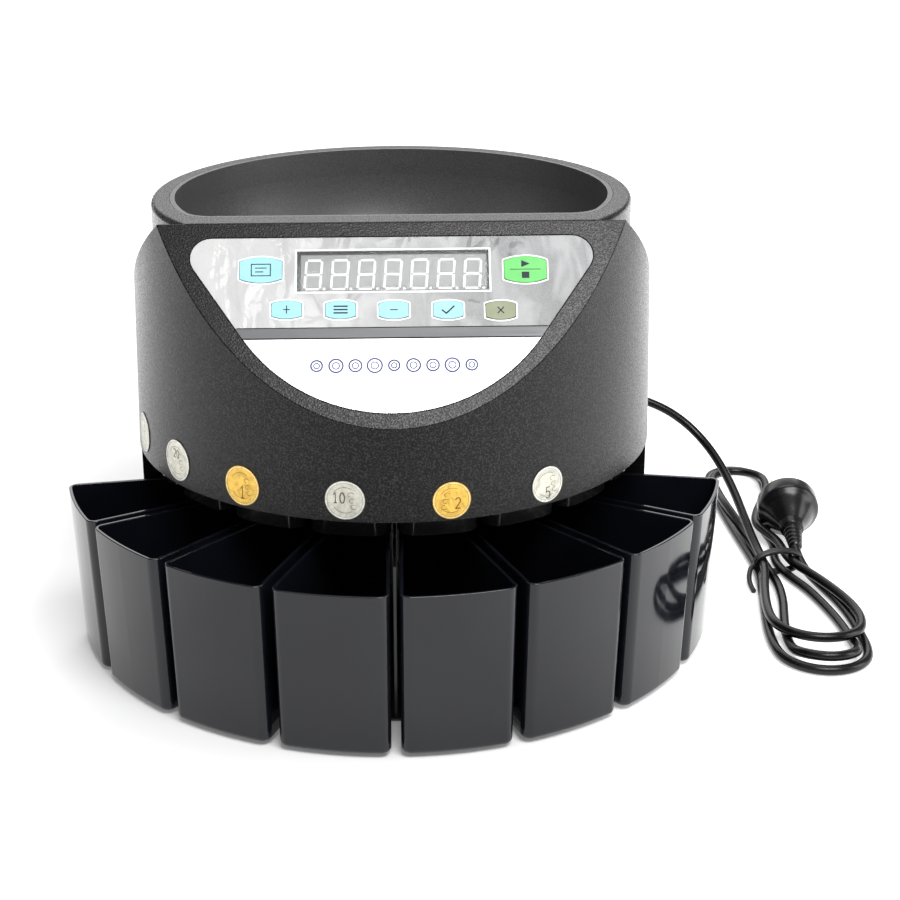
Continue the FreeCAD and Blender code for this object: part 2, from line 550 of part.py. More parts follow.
# rocker switch on the flat back: frame and rocker
fy = CASE_FLAT_Y
frame = box(SW[0] - 8, SW[0] + 8, fy, fy + 1.4, SW[1] - 11.5, SW[1] + 11.5).fuse(box(SW[0] - 6.5, SW[0] + 6.5, fy - 14, fy, SW[1] - 10.3, SW[1] + 10.3))
pz, py = SW[1], fy - 3.2
frame = frame.cut(box(SW[0] - 5.3, SW[0] + 5.3, fy - 10.5, fy + 3, SW[1] - 9.3, SW[1] + 9.3))
frame = frame.cut(Part.makeCylinder(1.25, 12.2, V(SW[0] - 6.1, py, pz), V(1, 0, 0)))
parts["switch_frame"] = single(frame)
prof = [V(SW[0] - 5.0, py + 5.6, pz - 8.2), V(SW[0] - 5.0, py + 4.4, pz), V(SW[0] - 5.0, py + 5.6, pz + 8.2), V(SW[0] - 5.0, py + 0.5, pz + 8.2),
        V(SW[0] - 5.0, py - 3.2, pz + 3.0), V(SW[0] - 5.0, py - 3.2, pz - 3.0), V(SW[0] - 5.0, py + 0.5, pz - 8.2)]
rocker = Part.Face(Part.Wire(poly(prof))).extrude(V(10.0, 0, 0))
rocker = single(rocker.fuse(Part.makeCylinder(1.2, 11.8, V(SW[0] - 5.9, py, pz), V(1, 0, 0))))
ROCKER_TILT = 8.0
rocker.rotate(V(SW[0], py, pz), V(1, 0, 0), -ROCKER_TILT)
parts["power_rocker"] = rocker
port = box(PORT[0] - 11, PORT[0] + 11, fy, fy + 1.2, PORT[1] - 7.5, PORT[1] + 7.5).fuse(box(PORT[0] - 9, PORT[0] + 9, fy - 13, fy, PORT[1] - 5.5, PORT[1] + 5.5))
port = port.cut(box(PORT[0] - 7.5, PORT[0] + 7.5, fy - 9, fy + 3, PORT[1] - 4.0, PORT[1] + 4.0))
parts["data_socket"] = single(port)

# ---------------------------------------------------------------- cord outlet, cord, hank and plug
g0 = V(0, 0, GLAND_Z)


def along(d0, d1, r0, r1):
    if abs(r0 - r1) < 1e-6:
        return Part.makeCylinder(r0, d1 - d0, g0 + gdir * d0, gdir)
    return Part.makeCone(r0, r1, d1 - d0, g0 + gdir * d0, gdir)


gland = along(127, 140.2, 5.0, 5.0).fuse([along(138.05, 140.2, 7.2, 6.6), along(140.2, GLAND_TIP, 5.4, 3.6), along(128, 134.6, 7.0, 7.0)])
parts["cord_gland"] = single(gland)


def tube(points, radius):
    """Straight runs joined by tangent arcs; radius of each arc is 0.45 of its shorter run over the tangent of half the turn."""
    pts = [V(*p) for p in points]
    edges, start, radii, length = [], pts[0], [], 0.0
    for i in range(1, len(pts) - 1):
        a, b, c = pts[i - 1], pts[i], pts[i + 1]
        d1, d2 = (b - a), (c - b)
        l1, l2 = d1.Length, d2.Length
        d1.normalize()
        d2.normalize()
        turn = acos(max(-1.0, min(1.0, d1.dot(d2))))
        t = 0.45 * min(l1, l2)
        radii.append(t / tan(turn / 2))
        p1, p2 = b - d1 * t, b + d2 * t
        bis = (d2 - d1).normalize()
        centre = b + bis * (radii[-1] / cos(turn / 2))
        mid = centre - bis * radii[-1]
        edges.append(Part.LineSegment(start, p1).toShape())
        edges.append(Part.Arc(p1, mid, p2).toShape())
        start = p2
    edges.append(Part.LineSegment(start, pts[-1]).toShape())
    wire = Part.Wire(edges)
    d = (pts[1] - pts[0]).normalize()
    prof = Part.Wire([Part.Circle(pts[0], d, radius).toShape()])
    solid = wire.makePipeShell([prof], True, True)
    want = pi * radius ** 2 * wire.Length
    print("cord tube: length %.1f, radii %.0f to %.0f, volume %.1f of %.1f, valid %s" % (wire.Length, min(radii), max(radii), solid.Volume, want, solid.isValid()))
    return solid


tip = g0 + gdir * GLAND_TIP
parts["power_cord"] = tube([(tip.x, tip.y, tip.z)] + CORD_ROUTE, CORD_D / 2)
parts["cord_hank"] = Part.Face(Part.Wire(poly([V(x, y, HANK_Z0) for x, y in HANK]))).extrude(V(0, 0, HANK_Z1 - HANK_Z0))
tie = box(208.2, 243.8, TIE_Y - 2.0, TIE_Y + 2.0, HANK_Z0, HANK_Z1 + 1.6)
tie = tie.cut(parts["cord_hank"]).cut(box(206.0, 246.0, TIE_Y - 3, TIE_Y + 3, -1, HANK_Z0))
tie_s = [s for s in tie.Solids]
tie = tie_s[0] if len(tie_s) == 1 else max(tie_s, key=lambda s: s.Volume)
parts["cord_tie"] = single(tie.fuse(box(206.0, 209.0, TIE_Y - 22, TIE_Y + 2.0, 3.0, 5.5)).cut(parts["cord_hank"]))
pn, pd = V(*PLUG_N), V(*PLUG_DIR).normalize()


def pl(s0, s1, r0, r1):
    if abs(r0 - r1) < 1e-6:
        return Part.makeCylinder(r0, s1 - s0, pn + pd * s0, pd)
    return Part.makeCone(r0, r1, s1 - s0, pn + pd * s0, pd)


parts["plug_relief"] = pl(-13.0, 6.0, 3.5, 5.6)
plug = pl(6.0, 10.4, 6.8, 7.6).fuse([pl(10.4, 18.4, 7.6, 12.6), pl(18.4, 24.6, 12.6, 15.4), pl(24.6, 26.4, 15.4, 18.0), pl(26.4, 37.0, 18.3, 18.3)])
parts["plug_body"] = single(plug)
pins = []
side = pd.cross(V(0, 0, 1)).normalize()
upv = side.cross(pd).normalize()


def pin_at(cu, cv, ang):
    a = radians(ang)
    du = side * cos(a) + upv * sin(a)
    dv = side * (-sin(a)) + upv * cos(a)
    c = pn + pd * 37.0 + side * cu + upv * cv
    q = [c + du * sx * 0.8 + dv * sy * 3.15 for sx, sy in ((-1, -1), (1, -1), (1, 1), (-1, 1))]
    return Part.Face(Part.Wire(poly(q))).extrude(pd * 17.0)


pins = [pin_at(-6.86, 2.6, 30), pin_at(6.86, 2.6, -30), pin_at(0, -7.7, 0)]
parts["plug_pins"] = Part.makeCompound(pins)

# ---------------------------------------------------------------- cups
def wedge(t, z0, z1, corner_o, corner_i):
    """Cup body about the local +X axis; t is the inset of every wall."""
    ha = radians(PITCH / 2)
    x0 = CUP_RI + t
    half = lambda x: x * tan(ha) - (CUP_GAP / 2 + t) / cos(ha)
    xo = 190.0
    pts = [V(x0, -half(x0), z0), V(xo, -half(xo), z0), V(xo, half(xo), z0), V(x0, half(x0), z0)]
    body = Part.Face(Part.Wire(poly(pts))).extrude(V(0, 0, z1 - z0))
    k = (CUP_R1 - CUP_R0) / (CUP_Z1 - CUP_Z0)
    ra, rb = CUP_R0 + k * (z0 - CUP_Z0) - t, CUP_R0 + k * (z1 - CUP_Z0) - t
    body = single(body.common(Part.makeCone(ra, rb, z1 - z0, V(0, 0, z0))))
    up = lambda e: e.BoundBox.ZLength > 0.8 * (z1 - z0)
    body = fillet_try(body, corner_o, lambda e: up(e) and e.CenterOfMass.x > 120)
    body = fillet_try(body, corner_i, lambda e: up(e) and e.CenterOfMass.x < 100)
    return body


c_out = wedge(0.0, CUP_Z0, CUP_Z1, CUP_CORNER, 4.0)
c_out = fillet_try(c_out, 2.5, lambda e: e.BoundBox.ZMax < CUP_Z0 + 0.05)
c_in = wedge(CUP_T, CUP_Z0 + CUP_FLOOR, CUP_Z1 + 6, CUP_CORNER - CUP_T, 4.0 - CUP_T)
c_in = fillet_try(c_in, 1.6, lambda e: e.BoundBox.ZMax < CUP_Z0 + CUP_FLOOR + 0.05)
cup0 = single(c_out.cut(c_in))
cup0 = fillet_try(cup0, 0.5, lambda e: e.BoundBox.ZMin > CUP_Z1 - 0.05)
print("cup valid", cup0.isValid(), "faces", len(cup0.Faces), "cm3", round(cup0.Volume / 1000, 2))
for i, a in enumerate(CENTRES):
    parts["cup_%d" % (i + 1)] = rot_z(cup0, a - 90)

# ---------------------------------------------------------------- place and write
def reach(shape):
    pts, _ = shape.tessellate(0.05)
    ys = [p.y for p in pts]
    return min(ys), max(ys)


lo = min(reach(parts[n])[0] for n in ("cup_4", "cup_5", "hood_shell"))
hi = max(reach(parts[n])[1] for n in ("hood_shell", "rear_housing", "base_plate", "cord_gland", "power_rocker"))
AXIS_Y = -(lo + hi) / 2.0
print("machine axis at y = %.3f, depth %.2f" % (AXIS_Y, hi - lo))
total = 0
for name, shape in sorted(parts.items()):
    s = shape.copy()
    s.translate(V(0, AXIS_Y, 0))
    if not s.isValid():
        print("NOT VALID", name)
    s.exportStep("parts/%s.step" % name)
    total += 1
print("nodes", total)
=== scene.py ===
# Eight-cup coin counter and sorter: the visible finish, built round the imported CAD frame.
import bpy, bmesh, math, random
from mathutils import Vector, Matrix


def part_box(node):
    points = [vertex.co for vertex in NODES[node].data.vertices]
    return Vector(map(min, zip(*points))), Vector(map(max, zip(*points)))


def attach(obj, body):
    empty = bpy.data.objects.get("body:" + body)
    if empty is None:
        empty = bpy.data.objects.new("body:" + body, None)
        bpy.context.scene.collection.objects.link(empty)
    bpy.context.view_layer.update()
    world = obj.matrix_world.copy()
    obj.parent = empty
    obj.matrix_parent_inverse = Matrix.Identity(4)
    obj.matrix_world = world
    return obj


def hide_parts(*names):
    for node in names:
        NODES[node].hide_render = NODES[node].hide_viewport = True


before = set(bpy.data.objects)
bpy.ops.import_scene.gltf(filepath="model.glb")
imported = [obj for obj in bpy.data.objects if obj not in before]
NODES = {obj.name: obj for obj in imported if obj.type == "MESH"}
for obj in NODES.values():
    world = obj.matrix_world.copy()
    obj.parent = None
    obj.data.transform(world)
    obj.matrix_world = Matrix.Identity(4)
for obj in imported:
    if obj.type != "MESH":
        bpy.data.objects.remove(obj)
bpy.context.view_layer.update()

_f0, _f1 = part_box("rubber_feet")
AY = 500.0 * (_f0[1] + _f1[1])          # the machine's axis in the row frame, mm
RNG = random.Random(41)
scene = bpy.context.scene


def P(x, y, z):
    """Millimetres about the machine's axis to metres in the row frame."""
    return Vector((x / 1000.0, (y + AY) / 1000.0, z / 1000.0))


# ---------------------------------------------------------------- camera
EL, ROLL, DIST = 0.34392, -0.01, 0.957404
TARGET = Vector((0.001655, AY / 1000.0, 0.110639))
back = Vector((0.0, -math.cos(EL), math.sin(EL)))
right = Vector((1.0, 0.0, 0.0))
up = back.cross(right)
r2 = math.cos(ROLL) * right + math.sin(ROLL) * up
u2 = -math.sin(ROLL) * right + math.cos(ROLL) * up
cam_data = bpy.data.cameras.new("camera")
cam = bpy.data.objects.new("camera", cam_data)
scene.collection.objects.link(cam)
m = Matrix((r2, u2, back)).transposed().to_4x4()
m.translation = TARGET + back * DIST
cam.matrix_world = m
cam_data.sensor_width = 36.0
cam_data.lens = 69.447
cam_data.shift_x = 0.0594
cam_data.shift_y = -0.0346
cam_data.clip_start, cam_data.clip_end = 0.02, 200.0
scene.camera = cam


# ---------------------------------------------------------------- material helpers
def new_mat(name):
    mt = bpy.data.materials.new(name)
    mt.use_nodes = True
    nt = mt.node_tree
    for n in list(nt.nodes):
        nt.nodes.remove(n)
    out = nt.nodes.new("ShaderNodeOutputMaterial")
    b = nt.nodes.new("ShaderNodeBsdfPrincipled")
    nt.links.new(b.outputs["BSDF"], out.inputs["Surface"])
    return mt, nt, b, out


class N:
    """Small helper that adds nodes and links them."""

    def __init__(self, nt):
        self.nt = nt
        self.tc = nt.nodes.new("ShaderNodeTexCoord")

    def link(self, a, b):
        self.nt.links.new(a, b)

    def map(self, scale=(1, 1, 1), rot=(0, 0, 0), coord="Object"):
        mp = self.nt.nodes.new("ShaderNodeMapping")
        mp.inputs["Scale"].default_value = scale
        mp.inputs["Rotation"].default_value = rot
        self.link(self.tc.outputs[coord], mp.inputs["Vector"])
        return mp.outputs["Vector"]

    def noise(self, scale, detail=3.0, rough=0.55, vec=None, dist=0.0):
        n = self.nt.nodes.new("ShaderNodeTexNoise")
        n.inputs["Scale"].default_value = scale
        n.inputs["Detail"].default_value = detail
        n.inputs["Roughness"].default_value = rough
        n.inputs["Distortion"].default_value = dist
        self.link(vec or self.tc.outputs["Object"], n.inputs["Vector"])
        return n.outputs["Fac"]

    def voronoi(self, scale, feature="F1", vec=None, rand=1.0, out="Distance"):
        n = self.nt.nodes.new("ShaderNodeTexVoronoi")
        n.feature = feature
        n.inputs["Scale"].default_value = scale
        n.inputs["Randomness"].default_value = rand
        self.link(vec or self.tc.outputs["Object"], n.inputs["Vector"])
        return n.outputs[out]

    def wave(self, scale, vec=None, axis="X", dist=0.0):
        n = self.nt.nodes.new("ShaderNodeTexWave")
        n.wave_type = "BANDS"
        n.bands_direction = axis
        n.inputs["Scale"].default_value = scale
        n.inputs["Distortion"].default_value = dist
        self.link(vec or self.tc.outputs["Object"], n.inputs["Vector"])
        return n.outputs["Fac"]

    def ramp(self, fac, stops):
        n = self.nt.nodes.new("ShaderNodeValToRGB")
        e = n.color_ramp.elements
        while len(e) > 1:
            e.remove(e[-1])
        e[0].position = stops[0][0]
        e[0].color = col4(stops[0][1])
        for p, c in stops[1:]:
            k = e.new(p)
            k.color = col4(c)
        self.link(fac, n.inputs["Fac"])
        return n.outputs["Color"]

    def rng(self, fac, a, b, c, d):
        n = self.nt.nodes.new("ShaderNodeMapRange")
        n.inputs["From Min"].default_value = a
        n.inputs["From Max"].default_value = b
        n.inputs["To Min"].default_value = c
        n.inputs["To Max"].default_value = d
        self.link(fac, n.inputs["Value"])
        return n.outputs["Result"]

    def math(self, op, a, b=None, clamp=False):
        n = self.nt.nodes.new("ShaderNodeMath")
        n.operation = op
        n.use_clamp = clamp
        for i, v in enumerate((a, b)):
            if v is None:
                continue
            if isinstance(v, (int, float)):
                n.inputs[i].default_value = v
            else:
                self.link(v, n.inputs[i])
        return n.outputs[0]

    def mix(self, fac, a, b):
        n = self.nt.nodes.new("ShaderNodeMix")
        n.data_type = "RGBA"
        if isinstance(fac, (int, float)):
            n.inputs[0].default_value = fac
        else:
            self.link(fac, n.inputs[0])
        for sock, v in ((n.inputs[6], a), (n.inputs[7], b)):
            if isinstance(v, (tuple, list)):
                sock.default_value = col4(v)
            else:
                self.link(v, sock)
        return n.outputs[2]

    def bump(self, height, strength, distance, normal=None):
        n = self.nt.nodes.new("ShaderNodeBump")
        n.inputs["Strength"].default_value = strength
        n.inputs["Distance"].default_value = distance
        self.link(height, n.inputs["Height"])
        if normal is not None:
            self.link(normal, n.inputs["Normal"])
        return n.outputs["Normal"]


def col4(c):
    return (c[0], c[1], c[2], c[3] if len(c) > 3 else 1.0)


def grey(v, warm=0.0):
    return (v * (1 + warm), v, v * (1 - warm))


def edge_wear(n, strength_lo=0.52, strength_hi=0.6):
    g = n.nt.nodes.new("ShaderNodeNewGeometry")
    return n.rng(g.outputs["Pointiness"], strength_lo, strength_hi, 0.0, 1.0)


def m_grain(name, base, hi, cell, rough=(0.38, 0.6), bump=0.6, depth=0.00016, spec=0.5):
    """Moulded plastic with a pebbled grain; cell is the grain size in metres."""
    mt, nt, b, out = new_mat(name)
    n = N(nt)
    v = n.voronoi(1.0 / cell, "SMOOTH_F1")
    fine = n.noise(1.6 / cell, 3.0, 0.6)
    big = n.noise(9.0, 3.0, 0.55)
    h = n.math("ADD", n.math("MULTIPLY", v, 0.75), n.math("MULTIPLY", fine, 0.5))
    c = n.ramp(h, [(0.30, hi), (0.62, base), (1.0, tuple(x * 0.75 for x in base))])
    c = n.mix(n.rng(big, 0.35, 0.7, 0.0, 0.25), c, tuple(x * 1.25 for x in base))
    n.link(c, b.inputs["Base Color"])
    n.link(n.rng(n.math("ADD", n.math("MULTIPLY", fine, 0.7), n.math("MULTIPLY", big, 0.3)), 0.3, 0.7, rough[0], rough[1]), b.inputs["Roughness"])
    b.inputs["Specular IOR Level"].default_value = spec
    n.link(n.bump(n.math("SUBTRACT", 1.0, h), bump, depth), b.inputs["Normal"])
    return mt


def m_pebble(name, base, hi, cell, rough, bump, depth, spec):
    """Spark-eroded grain: the tops are painted brighter, a painted sparkle highlight, between darker matt valleys."""
    mt, nt, b, out = new_mat(name)
    n = N(nt)
    v = n.voronoi(1.0 / cell, "F1")
    fine = n.noise(1.05 / cell, 1.0, 0.5)
    big = n.noise(7.0, 3.0, 0.55)
    h = n.math("ADD", n.math("MULTIPLY", v, 0.45), n.math("MULTIPLY", fine, 0.8))
    # painted highlight: the hi colour on the grain tops is painted sparkle, not wear
    top = n.rng(fine, 0.51, 0.60, 0.0, 1.0)
    c = n.mix(top, base, hi)
    c = n.mix(n.rng(big, 0.4, 0.7, 0.0, 0.18), c, tuple(x * 1.6 for x in base))
    n.link(c, b.inputs["Base Color"])
    n.link(n.rng(fine, 0.42, 0.60, rough[1], rough[0]), b.inputs["Roughness"])
    b.inputs["Specular IOR Level"].default_value = spec
    n.link(n.bump(h, bump, depth), b.inputs["Normal"])
    return mt


def m_gloss(name, base, rough=0.07, coat=0.0, smudge=0.09, flow=0.00003):
    """Polished moulding: long shallow flow waves, finger marks in the roughness, fine dust."""
    mt, nt, b, out = new_mat(name)
    n = N(nt)
    big = n.noise(22.0, 3.0, 0.5, dist=0.6)
    mid = n.noise(170.0, 4.0, 0.6)
    dust = n.voronoi(420.0, "F1")
    c = n.mix(n.rng(big, 0.3, 0.7, 0.0, 1.0), base, tuple(x * 1.5 + 0.001 for x in base))
    speck = n.rng(dust, 0.0, 0.06, 1.0, 0.0)
    speck = n.math("MULTIPLY", speck, n.rng(mid, 0.52, 0.62, 0.0, 0.35), True)
    c = n.mix(speck, c, (0.16, 0.16, 0.16))
    n.link(c, b.inputs["Base Color"])
    r = n.rng(n.math("MULTIPLY", n.rng(big, 0.35, 0.75, 0.0, 1.0), mid), 0.1, 0.6, rough, rough + smudge)
    n.link(r, b.inputs["Roughness"])
    b.inputs["Coat Weight"].default_value = coat
    b.inputs["Coat Roughness"].default_value = 0.05
    n.link(n.bump(n.noise(14.0, 2.0, 0.4), 0.35, flow * 20), b.inputs["Normal"])
    return mt


def m_metal(name, base, rough=0.3, brush=(1, 1, 60), scale=60.0, metallic=1.0, bump=0.12):
    mt, nt, b, out = new_mat(name)
    n = N(nt)
    vec = n.map(brush)
    s = n.noise(scale, 4.0, 0.6, vec)
    t = n.noise(30.0, 3.0, 0.5)
    n.link(n.mix(n.rng(s, 0.3, 0.7, 0.0, 1.0), tuple(x * 0.82 for x in base), base), b.inputs["Base Color"])
    b.inputs["Metallic"].default_value = metallic
    n.link(n.rng(n.math("ADD", n.math("MULTIPLY", s, 0.6), n.math("MULTIPLY", t, 0.4)), 0.3, 0.7, rough * 0.8, rough * 1.35), b.inputs["Roughness"])
    n.link(n.bump(s, bump, 0.0001), b.inputs["Normal"])
    return mt


def m_plain(name, base, rough=0.4, var=0.12, scale=90.0, bump=0.12, fine=700.0, coat=0.0, sheen=0.0):
    """Moulded or printed surface with slight colour variation and a fine texture."""
    mt, nt, b, out = new_mat(name)
    n = N(nt)
    a = n.noise(scale, 3.0, 0.5)
    f = n.noise(fine, 2.0, 0.6)
    n.link(n.mix(n.rng(a, 0.3, 0.7, 0.0, 1.0), tuple(x * (1 - var) for x in base), tuple(min(1.0, x * (1 + var * 0.5)) for x in base)), b.inputs["Base Color"])
    n.link(n.rng(f, 0.3, 0.7, rough * 0.85, min(1.0, rough * 1.2)), b.inputs["Roughness"])
    b.inputs["Coat Weight"].default_value = coat
    n.link(n.bump(f, bump, 0.0001), b.inputs["Normal"])
    return mt


def put(names, mat):
    for nm in names if isinstance(names, (list, tuple)) else [names]:
        o = NODES[nm]
        if not o.material_slots:
            o.data.materials.append(mat)
        for s in o.material_slots:
            s.material = mat


def new_obj(name, mesh, mat, body, smooth=True):
    o = bpy.data.objects.new(name, mesh)
    scene.collection.objects.link(o)
    if mat:
        mesh.materials.append(mat)
    if smooth:
        for p in mesh.polygons:
            p.use_smooth = True
    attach(o, body)
    return o


def mesh_from(name, verts, faces):
    me = bpy.data.meshes.new(name)
    me.from_pydata([tuple(v) for v in verts], [], faces)
    me.validate()
    me.update()
    return me


F_O = (0.0, -72.6, 238.7)                 # top edge of the sloping front, about the axis
W_DIR = (0.0, -0.6119, -0.7910)
N_DIR = (0.0, -0.7910, 0.6119)
BODY_OF_KEY = {"key_report": "report_button", "key_start": "start_button", "key_plus": "plus_button", "key_batch": "batch_button",
               "key_minus": "minus_button", "key_set": "set_button", "key_clear": "clear_button"}


def fpt(u, w, d=0.0):
    """Point on the sloping front: u to the right, w down the slope, d inwards, mm."""
    return P(F_O[0] + u, F_O[1] + w * W_DIR[1] - d * N_DIR[1], F_O[2] + w * W_DIR[2] - d * N_DIR[2])


def front(u, w, h):
    return fpt(u, w, -h)


def r_hood(z):
    return 138.7 - (z - 107.6) * 3.05 / 131.1


def on_hood(angle, z0):
    """Map for a disc on the hood cone: a to the right and b up, in mm, h outwards."""
    def f(a, b, h):
        z = z0 + b
        r = r_hood(z) + h
        t = math.radians(angle) + a / r_hood(z0)
        return P(r * math.sin(t), -r * math.cos(t), z)
    return f


class Relief:
    """Raised strips, rings and plates on a curved or sloping face, as one mesh."""

    def __init__(self, fmap):
        self.f, self.v, self.t = fmap, [], []

    def strip(self, pts, width, h0, h1, closed=False):
        n = len(pts)
        base = len(self.v)
        for i, (x, y) in enumerate(pts):
            if closed:
                a, c = pts[(i - 1) % n], pts[(i + 1) % n]
            else:
                a, c = pts[max(i - 1, 0)], pts[min(i + 1, n - 1)]
            d1 = Vector((x - a[0], y - a[1]))
            d2 = Vector((c[0] - x, c[1] - y))
            d1 = d1.normalized() if d1.length > 1e-9 else d2.normalized()
            d2 = d2.normalized() if d2.length > 1e-9 else d1
            t = (d1 + d2).normalized() if (d1 + d2).length > 1e-6 else d1
            nx, ny = -t.y, t.x
            k = max(0.5, abs(nx * -d1.y + ny * d1.x))
            o = width / 2 / k
            self.v += [self.f(x + nx * o, y + ny * o, h0), self.f(x - nx * o, y - ny * o, h0),
                       self.f(x - nx * o, y - ny * o, h1), self.f(x + nx * o, y + ny * o, h1)]
        m = n if closed else n - 1
        for i in range(m):
            p, q = base + 4 * i, base + 4 * ((i + 1) % n)
            for k in range(4):
                k2 = (k + 1) % 4
                self.t.append((p + k, p + k2, q + k2, q + k))
        if not closed:
            self.t.append((base + 3, base + 2, base + 1, base))
            e = base + 4 * (n - 1)
            self.t.append((e, e + 1, e + 2, e + 3))

    def plate(self, loop, h0, h1, step=None):
        """Filled outline: the outline is drawn in towards its middle in rings."""
        n = len(loop)
        cx, cy = sum(p[0] for p in loop) / n, sum(p[1] for p in loop) / n
        rings = step or 1
        base = len(self.v)
        for h in (h0, h1):
            for j in range(rings, 0, -1):
                k = j / rings
                self.v += [self.f(cx + (x - cx) * k, cy + (y - cy) * k, h) for x, y in loop]
            self.v.append(self.f(cx, cy, h))
        half = rings * n + 1
        for side in (0, 1):
            o = base + side * half
            for j in range(rings - 1):
                for i in range(n):
                    i2 = (i + 1) % n
                    self.t.append((o + j * n + i, o + j * n + i2, o + (j + 1) * n + i2, o + (j + 1) * n + i))
            for i in range(n):
                self.t.append((o + (rings - 1) * n + i, o + (rings - 1) * n + (i + 1) % n, o + rings * n))
        for i in range(n):
            i2 = (i + 1) % n
            self.t.append((base + i, base + i2, base + half + i2, base + half + i))

    def obj(self, name, mat, body="machine"):
        me = mesh_from(name, self.v, self.t)
        bm = bmesh.new()
        bm.from_mesh(me)
        bmesh.ops.recalc_face_normals(bm, faces=bm.faces)
        bm.to_mesh(me)
        bm.free()
        return new_obj(name, me, mat, body, False)


def circle(cx, cy, rx, ry=None, n=40, a0=0.0, a1=360.0):
    ry = rx if ry is None else ry
    full = abs(a1 - a0) >= 359.9
    m = n if full else n - 1
    return [(cx + rx * math.cos(math.radians(a0 + (a1 - a0) * i / m)), cy + ry * math.sin(math.radians(a0 + (a1 - a0) * i / m))) for i in range(n)]


def arc3(p, q, r, n=12):
    """Points on the arc through three points."""
    ax, ay, bx, by, cx, cy = p[0], p[1], q[0], q[1], r[0], r[1]
    d = 2 * (ax * (by - cy) + bx * (cy - ay) + cx * (ay - by))
    ux = ((ax * ax + ay * ay) * (by - cy) + (bx * bx + by * by) * (cy - ay) + (cx * cx + cy * cy) * (ay - by)) / d
    uy = ((ax * ax + ay * ay) * (cx - bx) + (bx * bx + by * by) * (ax - cx) + (cx * cx + cy * cy) * (bx - ax)) / d
    rad = math.hypot(ax - ux, ay - uy)
    t0, t1, t2 = (math.atan2(k[1] - uy, k[0] - ux) for k in (p, q, r))
    while t1 - t0 > math.pi:
        t1 -= 2 * math.pi
    while t1 - t0 < -math.pi:
        t1 += 2 * math.pi
    while t2 - t1 > math.pi:
        t2 -= 2 * math.pi
    while t2 - t1 < -math.pi:
        t2 += 2 * math.pi
    return [(ux + rad * math.cos(t0 + (t2 - t0) * i / (n - 1)), uy + rad * math.sin(t0 + (t2 - t0) * i / (n - 1))) for i in range(n)]


def barrel(u, w, a, b, g=0.0):
    """Key outline: straight sides, bulging top and bottom."""
    hu, hw, bulge = a / 2 + g, b / 2 + g, 0.16 * b
    top = arc3((u - hu, w - hw + bulge), (u, w - hw), (u + hu, w - hw + bulge), 14)
    bot = arc3((u + hu, w + hw - bulge), (u, w + hw), (u - hu, w + hw - bulge), 14)
    return top + bot


def smooth_loop(pts, n):
    """Even stations round a closed outline."""
    seg, tot = [], 0.0
    for i in range(len(pts)):
        a, c = pts[i], pts[(i + 1) % len(pts)]
        seg.append(math.hypot(c[0] - a[0], c[1] - a[1]))
        tot += seg[-1]
    out, i, acc = [], 0, 0.0
    for k in range(n):
        s = tot * k / n
        while acc + seg[i] < s:
            acc += seg[i]
            i += 1
        a, c = pts[i], pts[(i + 1) % len(pts)]
        t = (s - acc) / seg[i]
        out.append((a[0] + (c[0] - a[0]) * t, a[1] + (c[1] - a[1]) * t))
    return out


# ---------------------------------------------------------------- materials
M = {}
# hood grain: the second colour is the painted sparkle highlight on the grain tops
M["hood"] = m_pebble("hood_grain", (0.0002, 0.0002, 0.0003), (0.020, 0.020, 0.0207), 0.00085, (0.21, 0.36), 0.70, 0.00011, 0.22)
M["bowl"] = m_grain("bowl_grain", (0.046, 0.046, 0.048), (0.090, 0.090, 0.093), 0.0006, (0.34, 0.48), 0.55, 0.00010, 0.75)
M["gloss"] = m_gloss("cup_gloss", (0.0034, 0.0038, 0.0060), 0.06)
M["case"] = m_gloss("case_gloss", (0.0045, 0.0045, 0.005), 0.11)
M["steel"] = m_metal("sheet_steel", (0.62, 0.62, 0.63), 0.28)
M["motor"] = m_metal("motor_can", (0.42, 0.42, 0.43), 0.35, (60, 60, 1))
M["bronze"] = m_metal("sintered_bronze", (0.50, 0.34, 0.16), 0.42)
M["painted"] = m_grain("painted_steel", (0.014, 0.014, 0.015), (0.026, 0.026, 0.027), 0.0005, (0.4, 0.6), 0.25, 0.00005)
M["rubber"] = m_plain("foot_rubber", (0.014, 0.014, 0.014), 0.75, 0.3, 120, 0.3)
M["nylon"] = m_plain("gear_nylon", (0.78, 0.76, 0.68), 0.42)
M["wheel"] = m_plain("wheel_plastic", (0.012, 0.012, 0.013), 0.45)
M["pcb"] = m_plain("board_mask", (0.015, 0.10, 0.045), 0.3, 0.25, 200)
M["parts"] = m_plain("component_plastic", (0.02, 0.02, 0.021), 0.45)
M["core"] = m_metal("transformer_core", (0.10, 0.09, 0.09), 0.5, (1, 1, 400), 90, 0.6)
M["plug"] = m_grain("plug_plastic", (0.0030, 0.0030, 0.0033), (0.007, 0.007, 0.0075), 0.0007, (0.22, 0.30), 0.12, 0.00004, 0.36)
M["cord"] = m_plain("cord_jacket", (0.0025, 0.0025, 0.0028), 0.27, 0.3, 260, 0.2, 1500)
M["wire"] = m_plain("tie_jacket", (0.006, 0.006, 0.006), 0.36, 0.3, 300, 0.3, 1200)
M["pin"] = m_metal("pin_brass", (0.72, 0.66, 0.50), 0.25)
M["rocker"] = m_plain("rocker_plastic", (0.010, 0.010, 0.011), 0.16)
M["divider"] = m_metal("divider_satin", (0.105, 0.107, 0.112), 0.42, (1, 30, 30), 40, 0.3, 0.03)
M["label"] = m_plain("label_print", (0.93, 0.935, 0.95), 0.22, 0.015, 40, 0.03, 300, 0.6)
M["digit"] = m_plain("display_face", (0.31, 0.314, 0.314), 0.35, 0.05, 60, 0.05)
M["segment"] = m_plain("display_segment", (0.95, 0.95, 0.93), 0.3, 0.02, 60, 0.05)
M["whiteink"] = m_plain("white_ink", (0.95, 0.955, 0.955), 0.3, 0.02, 60, 0.05)
M["darkink"] = m_plain("dark_ink", (0.022, 0.030, 0.036), 0.35, 0.15, 60, 0.05)
